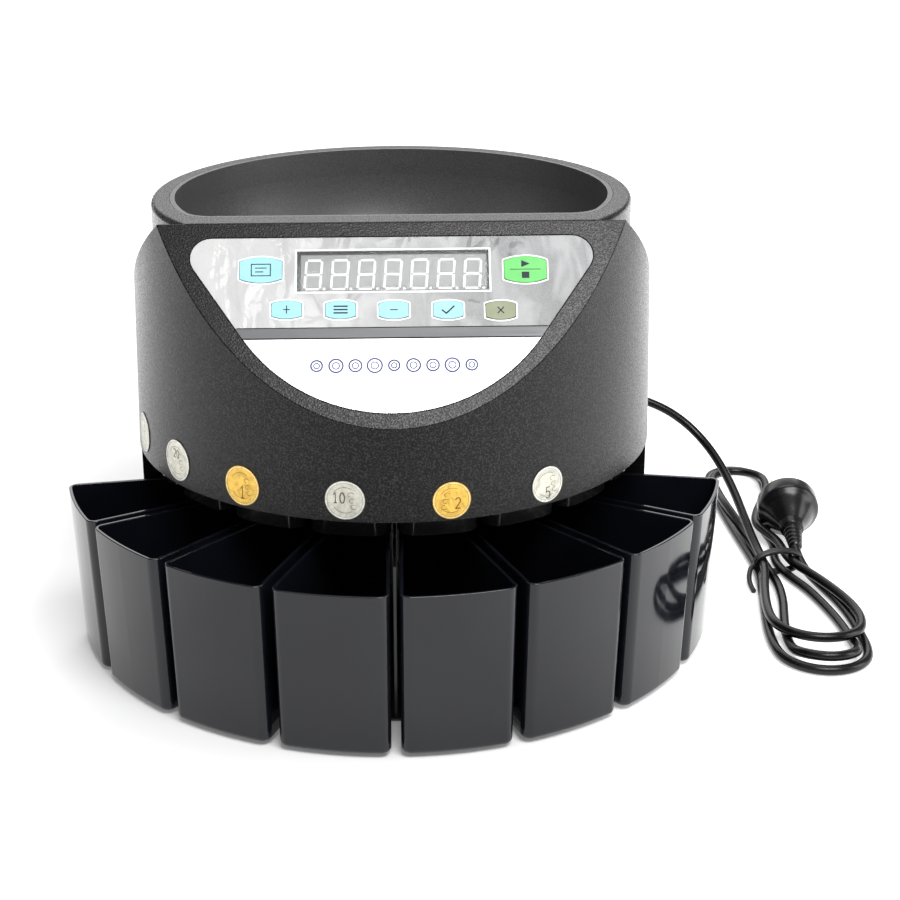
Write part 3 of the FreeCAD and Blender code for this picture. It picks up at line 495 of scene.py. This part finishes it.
M["blueink"] = m_plain("blue_ink", (0.055, 0.065, 0.17), 0.35, 0.10, 60, 0.05)
M["seam"] = m_plain("seam_dark", (0.004, 0.004, 0.004), 0.85, 0.2, 60, 0.05)
M["cord"].node_tree.nodes["Principled BSDF"].inputs["Specular IOR Level"].default_value = 0.28
M["seam"].node_tree.nodes["Principled BSDF"].inputs["Specular IOR Level"].default_value = 0.05
for _k in ("digit", "segment", "blueink", "darkink"):
    M[_k].node_tree.nodes["Principled BSDF"].inputs["Specular IOR Level"].default_value = 0.08
M["keyblue"] = m_plain("key_blue", (0.29, 0.56, 0.63), 0.34, 0.06, 120, 0.05, 300)
M["keygreen"] = m_plain("key_green", (0.11, 0.48, 0.11), 0.34, 0.08, 120, 0.05, 300)
M["keyolive"] = m_plain("key_olive", (0.22, 0.24, 0.15), 0.34, 0.06, 120, 0.05, 300)

for _k in ("keyblue", "keygreen", "keyolive"):
    M[_k].node_tree.nodes["Principled BSDF"].inputs["Specular IOR Level"].default_value = 0.22


def m_silver(name):
    """Metallic ink under a loose clear film: fine flake, soft creases in the gloss coat, painted glare patches along
    the creases and a painted glare that is lighter towards the left.
    """
    mt, nt, b, out = new_mat(name)
    n = N(nt)
    s = n.noise(1500.0, 2.0, 0.6)
    a = n.noise(30.0, 2.5, 0.5, dist=1.6)
    up = n.map((1.0, 0.42, 0.42))
    c2 = n.noise(64.0, 2.0, 0.45, up, dist=1.1)
    c = n.mix(n.rng(a, 0.35, 0.65, 0.0, 1.0), (0.125, 0.127, 0.129), (0.195, 0.197, 0.20))
    # painted highlight: the stretched crease noise paints lighter glare patches into the colour
    c = n.mix(n.rng(c2, 0.44, 0.60, 0.0, 0.5), c, (0.35, 0.355, 0.357))
    c = n.mix(n.rng(s, 0.4, 0.6, 0.0, 0.12), c, (0.42, 0.43, 0.43))
    # painted highlight: the colour is painted lighter towards the left, standing in for the lamp's glare on the film
    xyz = nt.nodes.new("ShaderNodeSeparateXYZ")
    n.link(n.tc.outputs["Object"], xyz.inputs[0])
    left_glare_mask = n.math("ADD", xyz.outputs["X"], n.math("MULTIPLY", n.math("SUBTRACT", a, 0.5), 0.09))
    c = n.mix(n.rng(left_glare_mask, -0.080, 0.045, 0.70, 0.0), c, (0.58, 0.58, 0.575))
    n.link(c, b.inputs["Base Color"])
    b.inputs["Metallic"].default_value = 0.0
    b.inputs["Specular IOR Level"].default_value = 0.12
    n.link(n.rng(s, 0.3, 0.7, 0.30, 0.44), b.inputs["Roughness"])
    b.inputs["Coat Weight"].default_value = 0.28
    b.inputs["Coat Roughness"].default_value = 0.06
    crease = n.math("ADD", n.math("MULTIPLY", a, 0.55), n.math("MULTIPLY", c2, 0.45))
    nb = n.bump(crease, 0.6, 0.0022)
    n.link(nb, b.inputs["Normal"])
    n.link(nb, b.inputs["Coat Normal"])
    return mt


M["silver"] = m_silver("silver_ink")


def m_clear(name, tint=(0.96, 0.97, 0.98), rough=0.06, alpha=0.18, bumpy=0.0):
    mt, nt, b, out = new_mat(name)
    n = N(nt)
    a = n.noise(120.0, 3.0, 0.5)
    n.link(n.mix(n.rng(a, 0.3, 0.7, 0.0, 1.0), tint, tuple(x * 0.97 for x in tint)), b.inputs["Base Color"])
    n.link(n.rng(a, 0.3, 0.7, rough, rough * 1.8), b.inputs["Roughness"])
    b.inputs["Alpha"].default_value = alpha
    b.inputs["IOR"].default_value = 1.5
    if bumpy:
        n.link(n.bump(n.noise(60.0, 3.0, 0.5, dist=1.2), bumpy, 0.002), b.inputs["Normal"])
    mt.blend_method = "BLEND" if hasattr(mt, "blend_method") else mt.blend_method
    return mt


M["window"] = m_clear("window_clear", (0.45, 0.46, 0.46), 0.05, 0.10)


def m_coin(name, base, seed):
    mt, nt, b, out = new_mat(name)
    n = N(nt)
    s = n.noise(700.0 + seed * 13, 4.0, 0.6)
    a = n.noise(160.0 + seed * 7, 4.0, 0.6, dist=1.5)
    n.link(n.mix(n.rng(a, 0.35, 0.65, 0.0, 1.0), tuple(x * 0.62 for x in base), base), b.inputs["Base Color"])
    b.inputs["Metallic"].default_value = 0.55
    n.link(n.rng(s, 0.3, 0.7, 0.26, 0.46), b.inputs["Roughness"])
    n.link(n.bump(a, 0.4, 0.0003), b.inputs["Normal"])
    return mt


M["coin_silver"] = m_coin("label_silver", (0.60, 0.585, 0.50), 1)
M["coin_rim"] = m_coin("label_silver_rim", (0.74, 0.73, 0.68), 5)
M["coin_gold"] = m_coin("label_gold", (0.80, 0.50, 0.09), 2)
M["coin_gold_rim"] = m_coin("label_gold_rim", (0.88, 0.66, 0.24), 6)
M["coin_dark"] = m_coin("label_relief_dark", (0.07, 0.065, 0.045), 3)
M["coin_dark_gold"] = m_coin("label_relief_gold", (0.16, 0.075, 0.010), 4)

# ---------------------------------------------------------------- the cord, its hank, tie and plug
LEAD = [(106.7, 127.2, 72), (119.5, 142.5, 72.8), (136, 152, 72), (154.5, 154.5, 69), (172.5, 152, 62.5), (185.5, 149, 54.5),
        (195.5, 143.5, 46), (203.5, 133, 37.5), (209.5, 119, 28.5), (213, 103, 21), (214.5, 86, 15.8), (215.2, 66, 11.6), (216.2, 48, 9),
        (216.6, 33, 8.2)]
LOOP_1 = [(214.6, 18, 8.2), (209.5, -6, 8.4), (206.2, -28, 8.4), (205.5, -45, 8.4), (208.8, -57.5, 8.8), (217.9, -66.6, 9),
          (230.4, -69.9, 9), (242.9, -66.6, 8.8), (252, -57.5, 8.4), (255.2, -42, 8.4), (253.4, -25, 8.4), (247.6, -5, 8.4),
          (240.6, 13, 8.4), (233.2, 29, 8.3)]
UPPER_1 = [(231.4, 44, 8.3), (231, 60, 8.4), (226.8, 73, 8.4), (223.2, 86, 8.2), (225.2, 100, 8.2), (233.5, 122, 8.4), (240.6, 141, 8.6),
           (243.1, 158, 8.6), (240.8, 166.7, 8.6), (234.5, 173, 8.6), (225.8, 175.3, 8.6), (217.2, 173, 8.6), (210.8, 166.7, 8.6),
           (208.5, 158, 8.6), (208.7, 139, 8.6), (209.8, 121, 8.4), (213.2, 103, 6), (216.2, 85, 3.2), (218.5, 62, 3), (219.3, 33, 3)]
LOOP_2 = [(221.5, 12, 3), (219.5, -12, 3), (214.8, -36, 3), (211.8, -56, 3.2), (211.1, -73, 4.6), (213.4, -81.7, 7), (219.8, -88, 8.4),
          (228.4, -90.3, 8.6), (237.1, -88, 8.4), (243.4, -81.7, 7), (245.7, -73, 4.6), (245.6, -57, 3.2), (244.6, -39, 3),
          (241.4, -18, 3), (236.5, 4, 3), (229.5, 22, 3)]
UPPER_2 = [(226.2, 38, 3), (227.2, 52, 3), (230.2, 66, 3), (229.6, 78, 3), (228.4, 88, 3), (230, 101, 3), (235.5, 122, 3), (241.4, 144, 3),
           (243.4, 161, 3), (244, 174, 3), (241.7, 182.7, 3), (235.3, 189.1, 3), (226.6, 191.4, 3), (217.9, 189.1, 3), (211.5, 182.7, 3),
           (209.2, 174, 3), (208.6, 159, 3), (208.4, 138, 3), (208.9, 112, 3), (210.6, 82, 3), (212.6, 54, 3), (213.4, 33, 3)]
LOOP_3 = [(211.5, 8, 3), (206.8, -22, 3), (203.2, -50, 3), (203, -71, 3), (206.3, -83.3, 3), (215.3, -92.3, 3), (227.6, -95.6, 3),
          (239.9, -92.3, 3), (248.9, -83.3, 3), (252.2, -71, 3), (252.6, -54, 3), (252.4, -34, 3), (250, -12, 3), (245.5, 8, 3),
          (240.6, 24, 4.6), (238.2, 36, 8.2), (238, 44.6, 10.8)]
CORD_D = 0.0054


def nurbs(name, points, radius, mat, res=6, bevel=5):
    cu = bpy.data.curves.new(name, "CURVE")
    cu.dimensions = "3D"
    sp = cu.splines.new("NURBS")
    sp.points.add(len(points) - 1)
    for i, p in enumerate(points):
        v = P(*p)
        sp.points[i].co = (v.x, v.y, v.z, 1.0)
    sp.order_u = 3
    sp.use_endpoint_u = True
    sp.resolution_u = res
    cu.bevel_depth = radius
    cu.bevel_resolution = bevel
    cu.use_fill_caps = True
    cu.materials.append(mat)
    o = bpy.data.objects.new(name, cu)
    scene.collection.objects.link(o)
    return o


cord = nurbs("mains_cord", LEAD + LOOP_1 + UPPER_1 + LOOP_2 + UPPER_2 + LOOP_3, CORD_D / 2, M["cord"], 8, 6)
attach(cord, "machine")
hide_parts("power_cord", "cord_hank")


def lathe(name, origin, axis, profile, mat, seg=64, body="machine"):
    """Surface of revolution; profile is (distance along the axis, radius) in mm."""
    ax = Vector(axis).normalized()
    side = ax.cross(Vector((0, 0, 1))).normalized()
    upv = side.cross(ax).normalized()
    verts, faces = [], []
    for s, r in profile:
        for k in range(seg):
            a = 2 * math.pi * k / seg
            c = Vector(origin) + ax * s + (side * math.cos(a) + upv * math.sin(a)) * r
            verts.append(P(*c))
    n = len(profile)
    for i in range(n - 1):
        for k in range(seg):
            k2 = (k + 1) % seg
            faces.append((i * seg + k, i * seg + k2, (i + 1) * seg + k2, (i + 1) * seg + k))
    faces.append(tuple(reversed(range(seg))))
    faces.append(tuple((n - 1) * seg + k for k in range(seg)))
    me = mesh_from(name, verts, faces)
    bm = bmesh.new()
    bm.from_mesh(me)
    bmesh.ops.recalc_face_normals(bm, faces=bm.faces)
    bm.to_mesh(me)
    bm.free()
    return new_obj(name, me, mat, body)


PN, PD = (239.5, 57.0, 13.2), (0.085, 0.969, 0.19)
prof = [(-13.0, 2.72), (-12.6, 3.1)]
for i in range(5):                      # ribbed relief: rings with grooves between them
    s0 = -12.0 + i * 3.4
    ro = 3.5 + (s0 + 13) * 0.11
    prof += [(s0, ro), (s0 + 0.35, ro + 0.25), (s0 + 2.0, ro + 0.42), (s0 + 2.35, ro + 0.1), (s0 + 2.5, ro - 0.75), (s0 + 3.2, ro - 0.68)]
prof += [(5.2, 5.5), (5.8, 6.6), (6.3, 6.85), (10.4, 7.5), (11.2, 7.9), (13.0, 8.8), (15.5, 10.1), (18.0, 11.5), (20.5, 12.7), (23.0, 13.9), (25.0, 14.9), (26.6, 16.0),
         (27.8, 17.1), (28.8, 17.9), (29.8, 18.25), (31.0, 18.3), (39.4, 18.3), (40.3, 18.1), (40.8, 17.7), (41.0, 17.2), (41.0, 15.0), (40.7, 14.6), (40.7, 0.5)]
prof = [(q if q < 6.0 else 6.0 + (q - 6.0) * 0.886, r) for q, r in prof]
plug = lathe("mains_plug", PN, PD, prof, M["plug"], 96, "machine")
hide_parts("plug_body", "plug_relief")
put("plug_pins", M["pin"])

# the wire tie, two turns round the bundle and a bent tail
TY = 33.0
tie_pts = []
for k in range(0, 41):
    a = 2 * math.pi * k / 20 + math.pi
    t = k / 40.0
    x = 225.6 + (14.2 if k > 4 else 15.0) * math.cos(a)
    z = max(1.3, 7.2 + 7.0 * math.sin(a) * 0.96)
    y = TY + (x - 225.6) * 0.22 - 2.4 + t * 4.6
    tie_pts.append((x, y, z))
tie_pts = [(206.2, 5.0, 1.4), (205.2, 12.0, 2.2), (205.8, 19.0, 5.4), (208.6, 25.5, 8.6)] + tie_pts[2:]
tie = nurbs("cord_tie_wire", tie_pts, 0.00145, M["wire"], 6, 4)
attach(tie, "machine")
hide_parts("cord_tie")

# ---------------------------------------------------------------- CAD nodes' finishes
put("hood_shell", M["hood"])
put("hopper_bowl", M["bowl"])
put("panel_divider", M["divider"])
put("keypad_overlay", M["silver"])
put("label_plate", M["label"])
put("display_window", M["window"])
put(["display_board", "main_board"], M["pcb"])
put("display_digits", M["digit"])
put(["key_switches", "board_parts", "coin_sensors", "switch_frame", "data_socket"], M["parts"])
put("coin_labels", M["coin_silver"])
put(["sort_plate", "track_fence", "deck_posts", "motor_bracket", "case_screws", "main_shaft", "wheel_cap"], M["steel"])
put(["chute_ring", "chassis_deck", "cup_bay", "rear_housing"], M["case"])
put(["cup_%d" % i for i in range(1, 9)], M["gloss"])
put("base_plate", M["painted"])
put(["rubber_feet", "cord_gland"], M["rubber"])
put(["main_bearings", "motor_pinion"], M["bronze"])
put("drive_motor", M["motor"])
put("transformer", M["core"])
put(["coin_wheel", "wheel_fingers"], M["wheel"])
put("drive_gear", M["nylon"])
put("power_rocker", M["rocker"])
put(["key_report", "key_plus", "key_batch", "key_minus", "key_set"], M["keyblue"])
put("key_start", M["keygreen"])
put("key_clear", M["keyolive"])

# ---------------------------------------------------------------- printed and inlaid panel details
KEYS = {"key_report": (-63.1, 25.0, 20.4, 13.2), "key_start": (64.5, 25.9, 20.4, 13.6), "key_plus": (-50.5, 45.6, 14.4, 9.2),
        "key_batch": (-24.6, 45.9, 14.4, 9.2), "key_minus": (0.9, 46.2, 14.2, 9.2), "key_set": (26.9, 46.4, 14.2, 9.2), "key_clear": (52.1, 46.9, 14.2, 9.4)}
borders = Relief(front)
for nm, (u, w, ka, kb) in KEYS.items():
    borders.strip(smooth_loop(barrel(u, w, ka, kb, 0.62), 72), 0.62, -0.10, 0.10, True)
borders.strip([(-46.3, 14.6), (47.5, 14.6), (47.5, 36.8), (-46.3, 36.8)], 0.72, -0.10, 0.06, True)
borders.obj("panel_white_lines", M["whiteink"])

seams = Relief(front)


def side_half():
    """Half outline of the panel inlay, from the top middle down to the bottom middle."""
    p_top, side, tanp, bot, rc = 7.8, (75.0, 55.5), (71.5, 60.5), 98.5, 10.5
    s = (side[1] - tanp[1]) / (side[0] - tanp[0])
    r = (tanp[0] ** 2 + (bot - tanp[1]) ** 2) / (2 * (bot - tanp[1]))
    c = bot - r
    tx, ty = tanp[1] - c, -tanp[0]
    ln = math.hypot(tx, ty)
    tx, ty = tx / ln, ty / ln
    t = (p_top - tanp[1]) / ty
    cx, cy = tanp[0] + tx * t, p_top
    ang = math.acos(tx)
    lk = rc / math.tan(ang / 2)
    a0 = (cx - lk, p_top)
    b0 = (cx - tx * lk, cy - ty * lk)
    cc = (cx - lk, p_top + rc)
    mx, my = (a0[0] + b0[0]) / 2 - cc[0], (a0[1] + b0[1]) / 2 - cc[1]
    ml = math.hypot(mx, my)
    mid = (cc[0] + mx / ml * rc, cc[1] + my / ml * rc)
    pts = [(x * a0[0] / 8.0, p_top) for x in range(0, 8)]
    pts += arc3(a0, mid, b0, 10)
    pts += [(b0[0] + (tanp[0] - b0[0]) * k / 8.0, b0[1] + (tanp[1] - b0[1]) * k / 8.0) for k in range(1, 8)]
    am = (r * math.sin(0.5 * math.atan2(tanp[0], tanp[1] - c)), c + r * math.cos(0.5 * math.atan2(tanp[0], tanp[1] - c)))
    pts += arc3(tanp, am, (0.0, bot), 30)
    return pts


half = side_half()
loop = half + [(-x, y) for x, y in reversed(half[1:-1])]
seams.strip(loop, 0.55, -0.35, 0.005, True)
seams.strip([(x, 55.12) for x in (-74.2, -50, -25, 0, 25, 50, 74.2)], 0.62, -0.35, 0.06)
seams.strip([(x, 60.42) for x in (-70.6, -50, -25, 0, 25, 50, 70.6)], 0.62, -0.35, 0.06)
seams.obj("panel_seams", M["seam"])

# seven-segment figures: the unlit segments show white on the grey face
segs = Relief(front)
SEG_H = -2.62
for i in range(7):
    uc = -43.9 + 12.85 * i + 6.0
    lean = 0.075

    def sl(x, y):
        return (uc + x + (26.5 - y) * lean, y)
    xr, yt, ym, yb = 3.75, 19.0, 26.5, 34.0
    g = 0.55
    for p, q in (((-xr + g, yt), (xr - g, yt)), ((-xr + g, ym), (xr - g, ym)), ((-xr + g, yb), (xr - g, yb)),
                 ((-xr, yt + g), (-xr, ym - g)), ((-xr, ym + g), (-xr, yb - g)), ((xr, yt + g), (xr, ym - g)), ((xr, ym + g), (xr, yb - g))):
        a1, b1 = sl(*p), sl(*q)
        dx, dy = (b1[0] - a1[0]) * 0.06, (b1[1] - a1[1]) * 0.06
        segs.strip([a1, (a1[0] + dx, a1[1] + dy), (b1[0] - dx, b1[1] - dy), b1], 1.15, -2.75, SEG_H)
    segs.plate(circle(uc + 5.25, 34.0, 0.72, n=16), -2.75, SEG_H)
segs.obj("display_segments", M["segment"])

# key symbols, generic shapes only
def key_art(nm, strokes, width=0.62, ink="darkink"):
    r = Relief(front)
    for st in strokes:
        pts, closed = (st, False) if isinstance(st, list) else st
        r.strip(pts, width, 0.46, 0.535, closed)
    return r.obj(nm + "_symbol", M[ink], BODY_OF_KEY[nm])


u, w, ka, kb = KEYS["key_plus"]
key_art("key_plus", [[(u - 1.6, w), (u + 1.6, w)], [(u, w - 2.1), (u, w + 2.1)]], 0.5)
u, w, ka, kb = KEYS["key_minus"]
key_art("key_minus", [[(u - 1.9, w), (u + 1.9, w)]], 0.5)
u, w, ka, kb = KEYS["key_batch"]
key_art("key_batch", [[(u - 3.4, w - 1.7), (u + 3.4, w - 1.7)], [(u - 3.4, w), (u + 3.4, w)], [(u - 3.4, w + 1.7), (u + 3.4, w + 1.7)]], 0.72)
u, w, ka, kb = KEYS["key_set"]
key_art("key_set", [[(u - 3.0, w + 0.1), (u - 0.9, w + 1.9), (u + 3.0, w - 1.9)]], 0.72)
u, w, ka, kb = KEYS["key_clear"]
key_art("key_clear", [[(u - 1.5, w - 1.6), (u + 1.5, w + 1.6)], [(u - 1.5, w + 1.6), (u + 1.5, w - 1.6)]], 0.55)
u, w, ka, kb = KEYS["key_report"]
key_art("key_report", [([(u - 4.6, w - 3.0), (u + 4.6, w - 3.0), (u + 4.6, w + 3.0), (u - 4.6, w + 3.0)], True), [(u - 2.8, w - 1.0), (u + 2.8, w - 1.0)],
                       [(u - 2.8, w + 1.0), (u + 1.2, w + 1.0)]], 0.5)
u, w, ka, kb = KEYS["key_start"]
start_art = Relief(front)
start_art.strip([(u - 7.4, w), (u + 7.4, w)], 0.34, 0.46, 0.53)
start_art.plate([(u - 1.9, w - 4.7), (u + 2.2, w - 2.9), (u - 1.9, w - 1.1)], 0.46, 0.535)
start_art.plate([(u - 1.8, w + 1.3), (u + 1.8, w + 1.3), (u + 1.8, w + 4.6), (u - 1.8, w + 4.6)], 0.46, 0.535)
start_art.obj("key_start_symbol", M["darkink"], "start_button")

# lower label: a plain row of coin circles
row = Relief(front)
for i, r0 in enumerate((2.7, 3.3, 3.0, 3.5, 2.6, 3.2, 2.9, 3.4, 2.7)):
    cx = -36.0 + i * 9.2
    row.strip(circle(cx, 74.3, r0, n=36), 0.85, -0.11, -0.04, True)
    row.strip(circle(cx, 74.3, r0 * 0.50, n=24), 0.6, -0.11, -0.04, True)
row.obj("label_coin_row", M["blueink"])

# ---------------------------------------------------------------- coin labels on the hood
GLYPH = {
    "0": [(circle(0.30, 0.50, 0.25, 0.48, 28), True)],
    "1": [([(0.10, 0.76), (0.30, 0.98), (0.30, 0.02)], False), ([(0.12, 0.02), (0.48, 0.02)], False)],
    "2": [(circle(0.30, 0.72, 0.26, 0.26, 12, 165, -35) + [(0.06, 0.03), (0.58, 0.03)], False)],
    "5": [([(0.54, 0.98), (0.14, 0.98), (0.10, 0.56)] + circle(0.28, 0.32, 0.29, 0.31, 14, 118, -140), False)],
}
LABELS = [(-70.4, 121.4, 21.0, "", 0, 0, 0, "s"), (-51.8, 120.4, 21.4, "20", -3.0, 1.2, 4.6, "s"), (-32.2, 119.0, 20.2, "1", -1.2, -6.4, 6.4, "g"),
          (-9.7, 118.7, 19.6, "10", -5.9, -1.6, 5.4, "s"), (11.5, 117.8, 18.8, "2", 1.6, -4.4, 5.6, "g"), (32.7, 117.9, 18.4, "5", -1.4, -7.2, 5.8, "s")]
field, rims, grooves = {"s": [], "g": []}, {"s": [], "g": []}, {"s": [], "g": []}
for ang, z, dia, text, ox, oy, size, kind in LABELS:
    f = on_hood(ang, z)
    ra = dia / 2
    k = Relief(f)
    k.plate(circle(0, 0, ra - 0.12, n=56), 0.20, 0.305, 8)
    field[kind].append(k)
    k = Relief(f)
    k.strip(circle(0, 0, ra - 0.62, n=56), 0.80, 0.26, 0.42, True)
    for j in range(44):
        t = 2 * math.pi * j / 44
        k.plate(circle((ra - 1.55) * math.cos(t), (ra - 1.55) * math.sin(t), 0.26, n=6), 0.28, 0.36)
    rims[kind].append(k)
    k = Relief(f)
    k.strip(circle(0, 0, ra + 0.02, n=56), 0.26, 0.02, 0.30, True)
    k.strip(circle(0, 0, ra - 1.12, n=56), 0.12, 0.28, 0.325, True)
    x = ox
    for ch in text:
        for pts, closed in GLYPH[ch]:
            k.strip([(x + px * size * 0.82, oy + py * size) for px, py in pts], 0.55, 0.28, 0.35, closed)
        x += size * 0.62
    # generic sprigs round the numeral
    side = -1 if ox > 0 else 1
    for j in range(3):
        cx, cy = side * (2.6 + 0.7 * j) + (0.4 if text else -2.0), 2.9 - 3.1 * j
        k.strip(circle(cx, cy, 1.5, 1.1, 10, 20 + 30 * j, 250 + 30 * j), 0.24, 0.28, 0.325)
    k.strip(circle(0, 0, ra * 0.66, n=26, a0=60, a1=150), 0.22, 0.28, 0.325)
    k.strip(circle(0, 0, ra * 0.66, n=26, a0=215, a1=300), 0.22, 0.28, 0.325)
    grooves[kind].append(k)


def join_relief(name, parts, mat):
    r = Relief(None)
    for q in parts:
        o = len(r.v)
        r.v += q.v
        r.t += [tuple(i + o for i in t) for t in q.t]
    return r.obj(name, mat)


join_relief("coin_label_silver_faces", field["s"], M["coin_silver"])
join_relief("coin_label_gold_faces", field["g"], M["coin_gold"])
join_relief("coin_label_silver_rims", rims["s"], M["coin_rim"])
join_relief("coin_label_gold_rims", rims["g"], M["coin_gold_rim"])
join_relief("coin_label_silver_lines", grooves["s"], M["coin_dark"])
join_relief("coin_label_gold_lines", grooves["g"], M["coin_dark_gold"])

# ---------------------------------------------------------------- floor and light
me = mesh_from("floor", [(-60, -30, 0), (60, -30, 0), (60, 90, 0), (-60, 90, 0)], [(0, 1, 2, 3)])
floor = bpy.data.objects.new("floor", me)
scene.collection.objects.link(floor)
mt, nt, b, out = new_mat("floor_paper")
n = N(nt)
n.link(n.mix(n.noise(3.0), (0.82, 0.82, 0.82), (0.85, 0.85, 0.85)), b.inputs["Base Color"])
b.inputs["Roughness"].default_value = 0.75
b.inputs["Specular IOR Level"].default_value = 0.2
# the sweep stays paper-white where the lamps no longer reach it
_len = nt.nodes.new("ShaderNodeVectorMath")
_len.operation = "LENGTH"
n.link(n.tc.outputs["Object"], _len.inputs[0])
b.inputs["Emission Color"].default_value = (1.0, 1.0, 1.0, 1.0)
_xyz = nt.nodes.new("ShaderNodeSeparateXYZ")
n.link(n.tc.outputs["Object"], _xyz.inputs[0])
_side = n.rng(n.math("ABSOLUTE", n.math("SUBTRACT", _xyz.outputs["X"], -0.06), 0.0), 0.14, 0.50, 0.0, 1.0)
n.link(n.math("ADD", n.rng(_len.outputs["Value"], 0.40, 1.7, 0.12, 0.85), _side), b.inputs["Emission Strength"])
me.materials.append(mt)

world = bpy.data.worlds.new("studio")
world.use_nodes = True
bg = world.node_tree.nodes.get("Background")
bg.inputs["Color"].default_value = (1.0, 1.0, 1.0, 1.0)
bg.inputs["Strength"].default_value = 0.36
scene.world = world


def area(name, loc, target, size, power, size_y=None, color=(1, 1, 1)):
    ld = bpy.data.lights.new(name, "AREA")
    ld.energy = power
    ld.color = color
    ld.shape = "RECTANGLE"
    ld.size = size
    ld.size_y = size_y or size
    lo = bpy.data.objects.new(name, ld)
    scene.collection.objects.link(lo)
    d = Vector(target) - Vector(loc)
    lo.location = loc
    lo.rotation_mode = "QUATERNION"
    lo.rotation_quaternion = d.to_track_quat("-Z", "Y")
    return lo


area("front_light", (0.36, -0.95, 1.48), (-0.01, -0.09, 0.20), 1.0, 27, 0.62)
area("top_light", (0.1, 0.6, 1.7), (0, 0, 0.1), 1.3, 12)
area("right_light", (1.45, -0.25, 0.50), (0, 0, 0.12), 0.7, 8, 0.9)
area("back_light", (0.0, 2.1, 1.05), (0, 0, 0.2), 2.6, 11, 0.7)
area("left_light", (-1.45, -0.25, 0.6), (0, 0, 0.12), 0.4, 0.9, 0.9)
scene.view_settings.view_transform = "Standard"
scene.view_settings.look = "None"
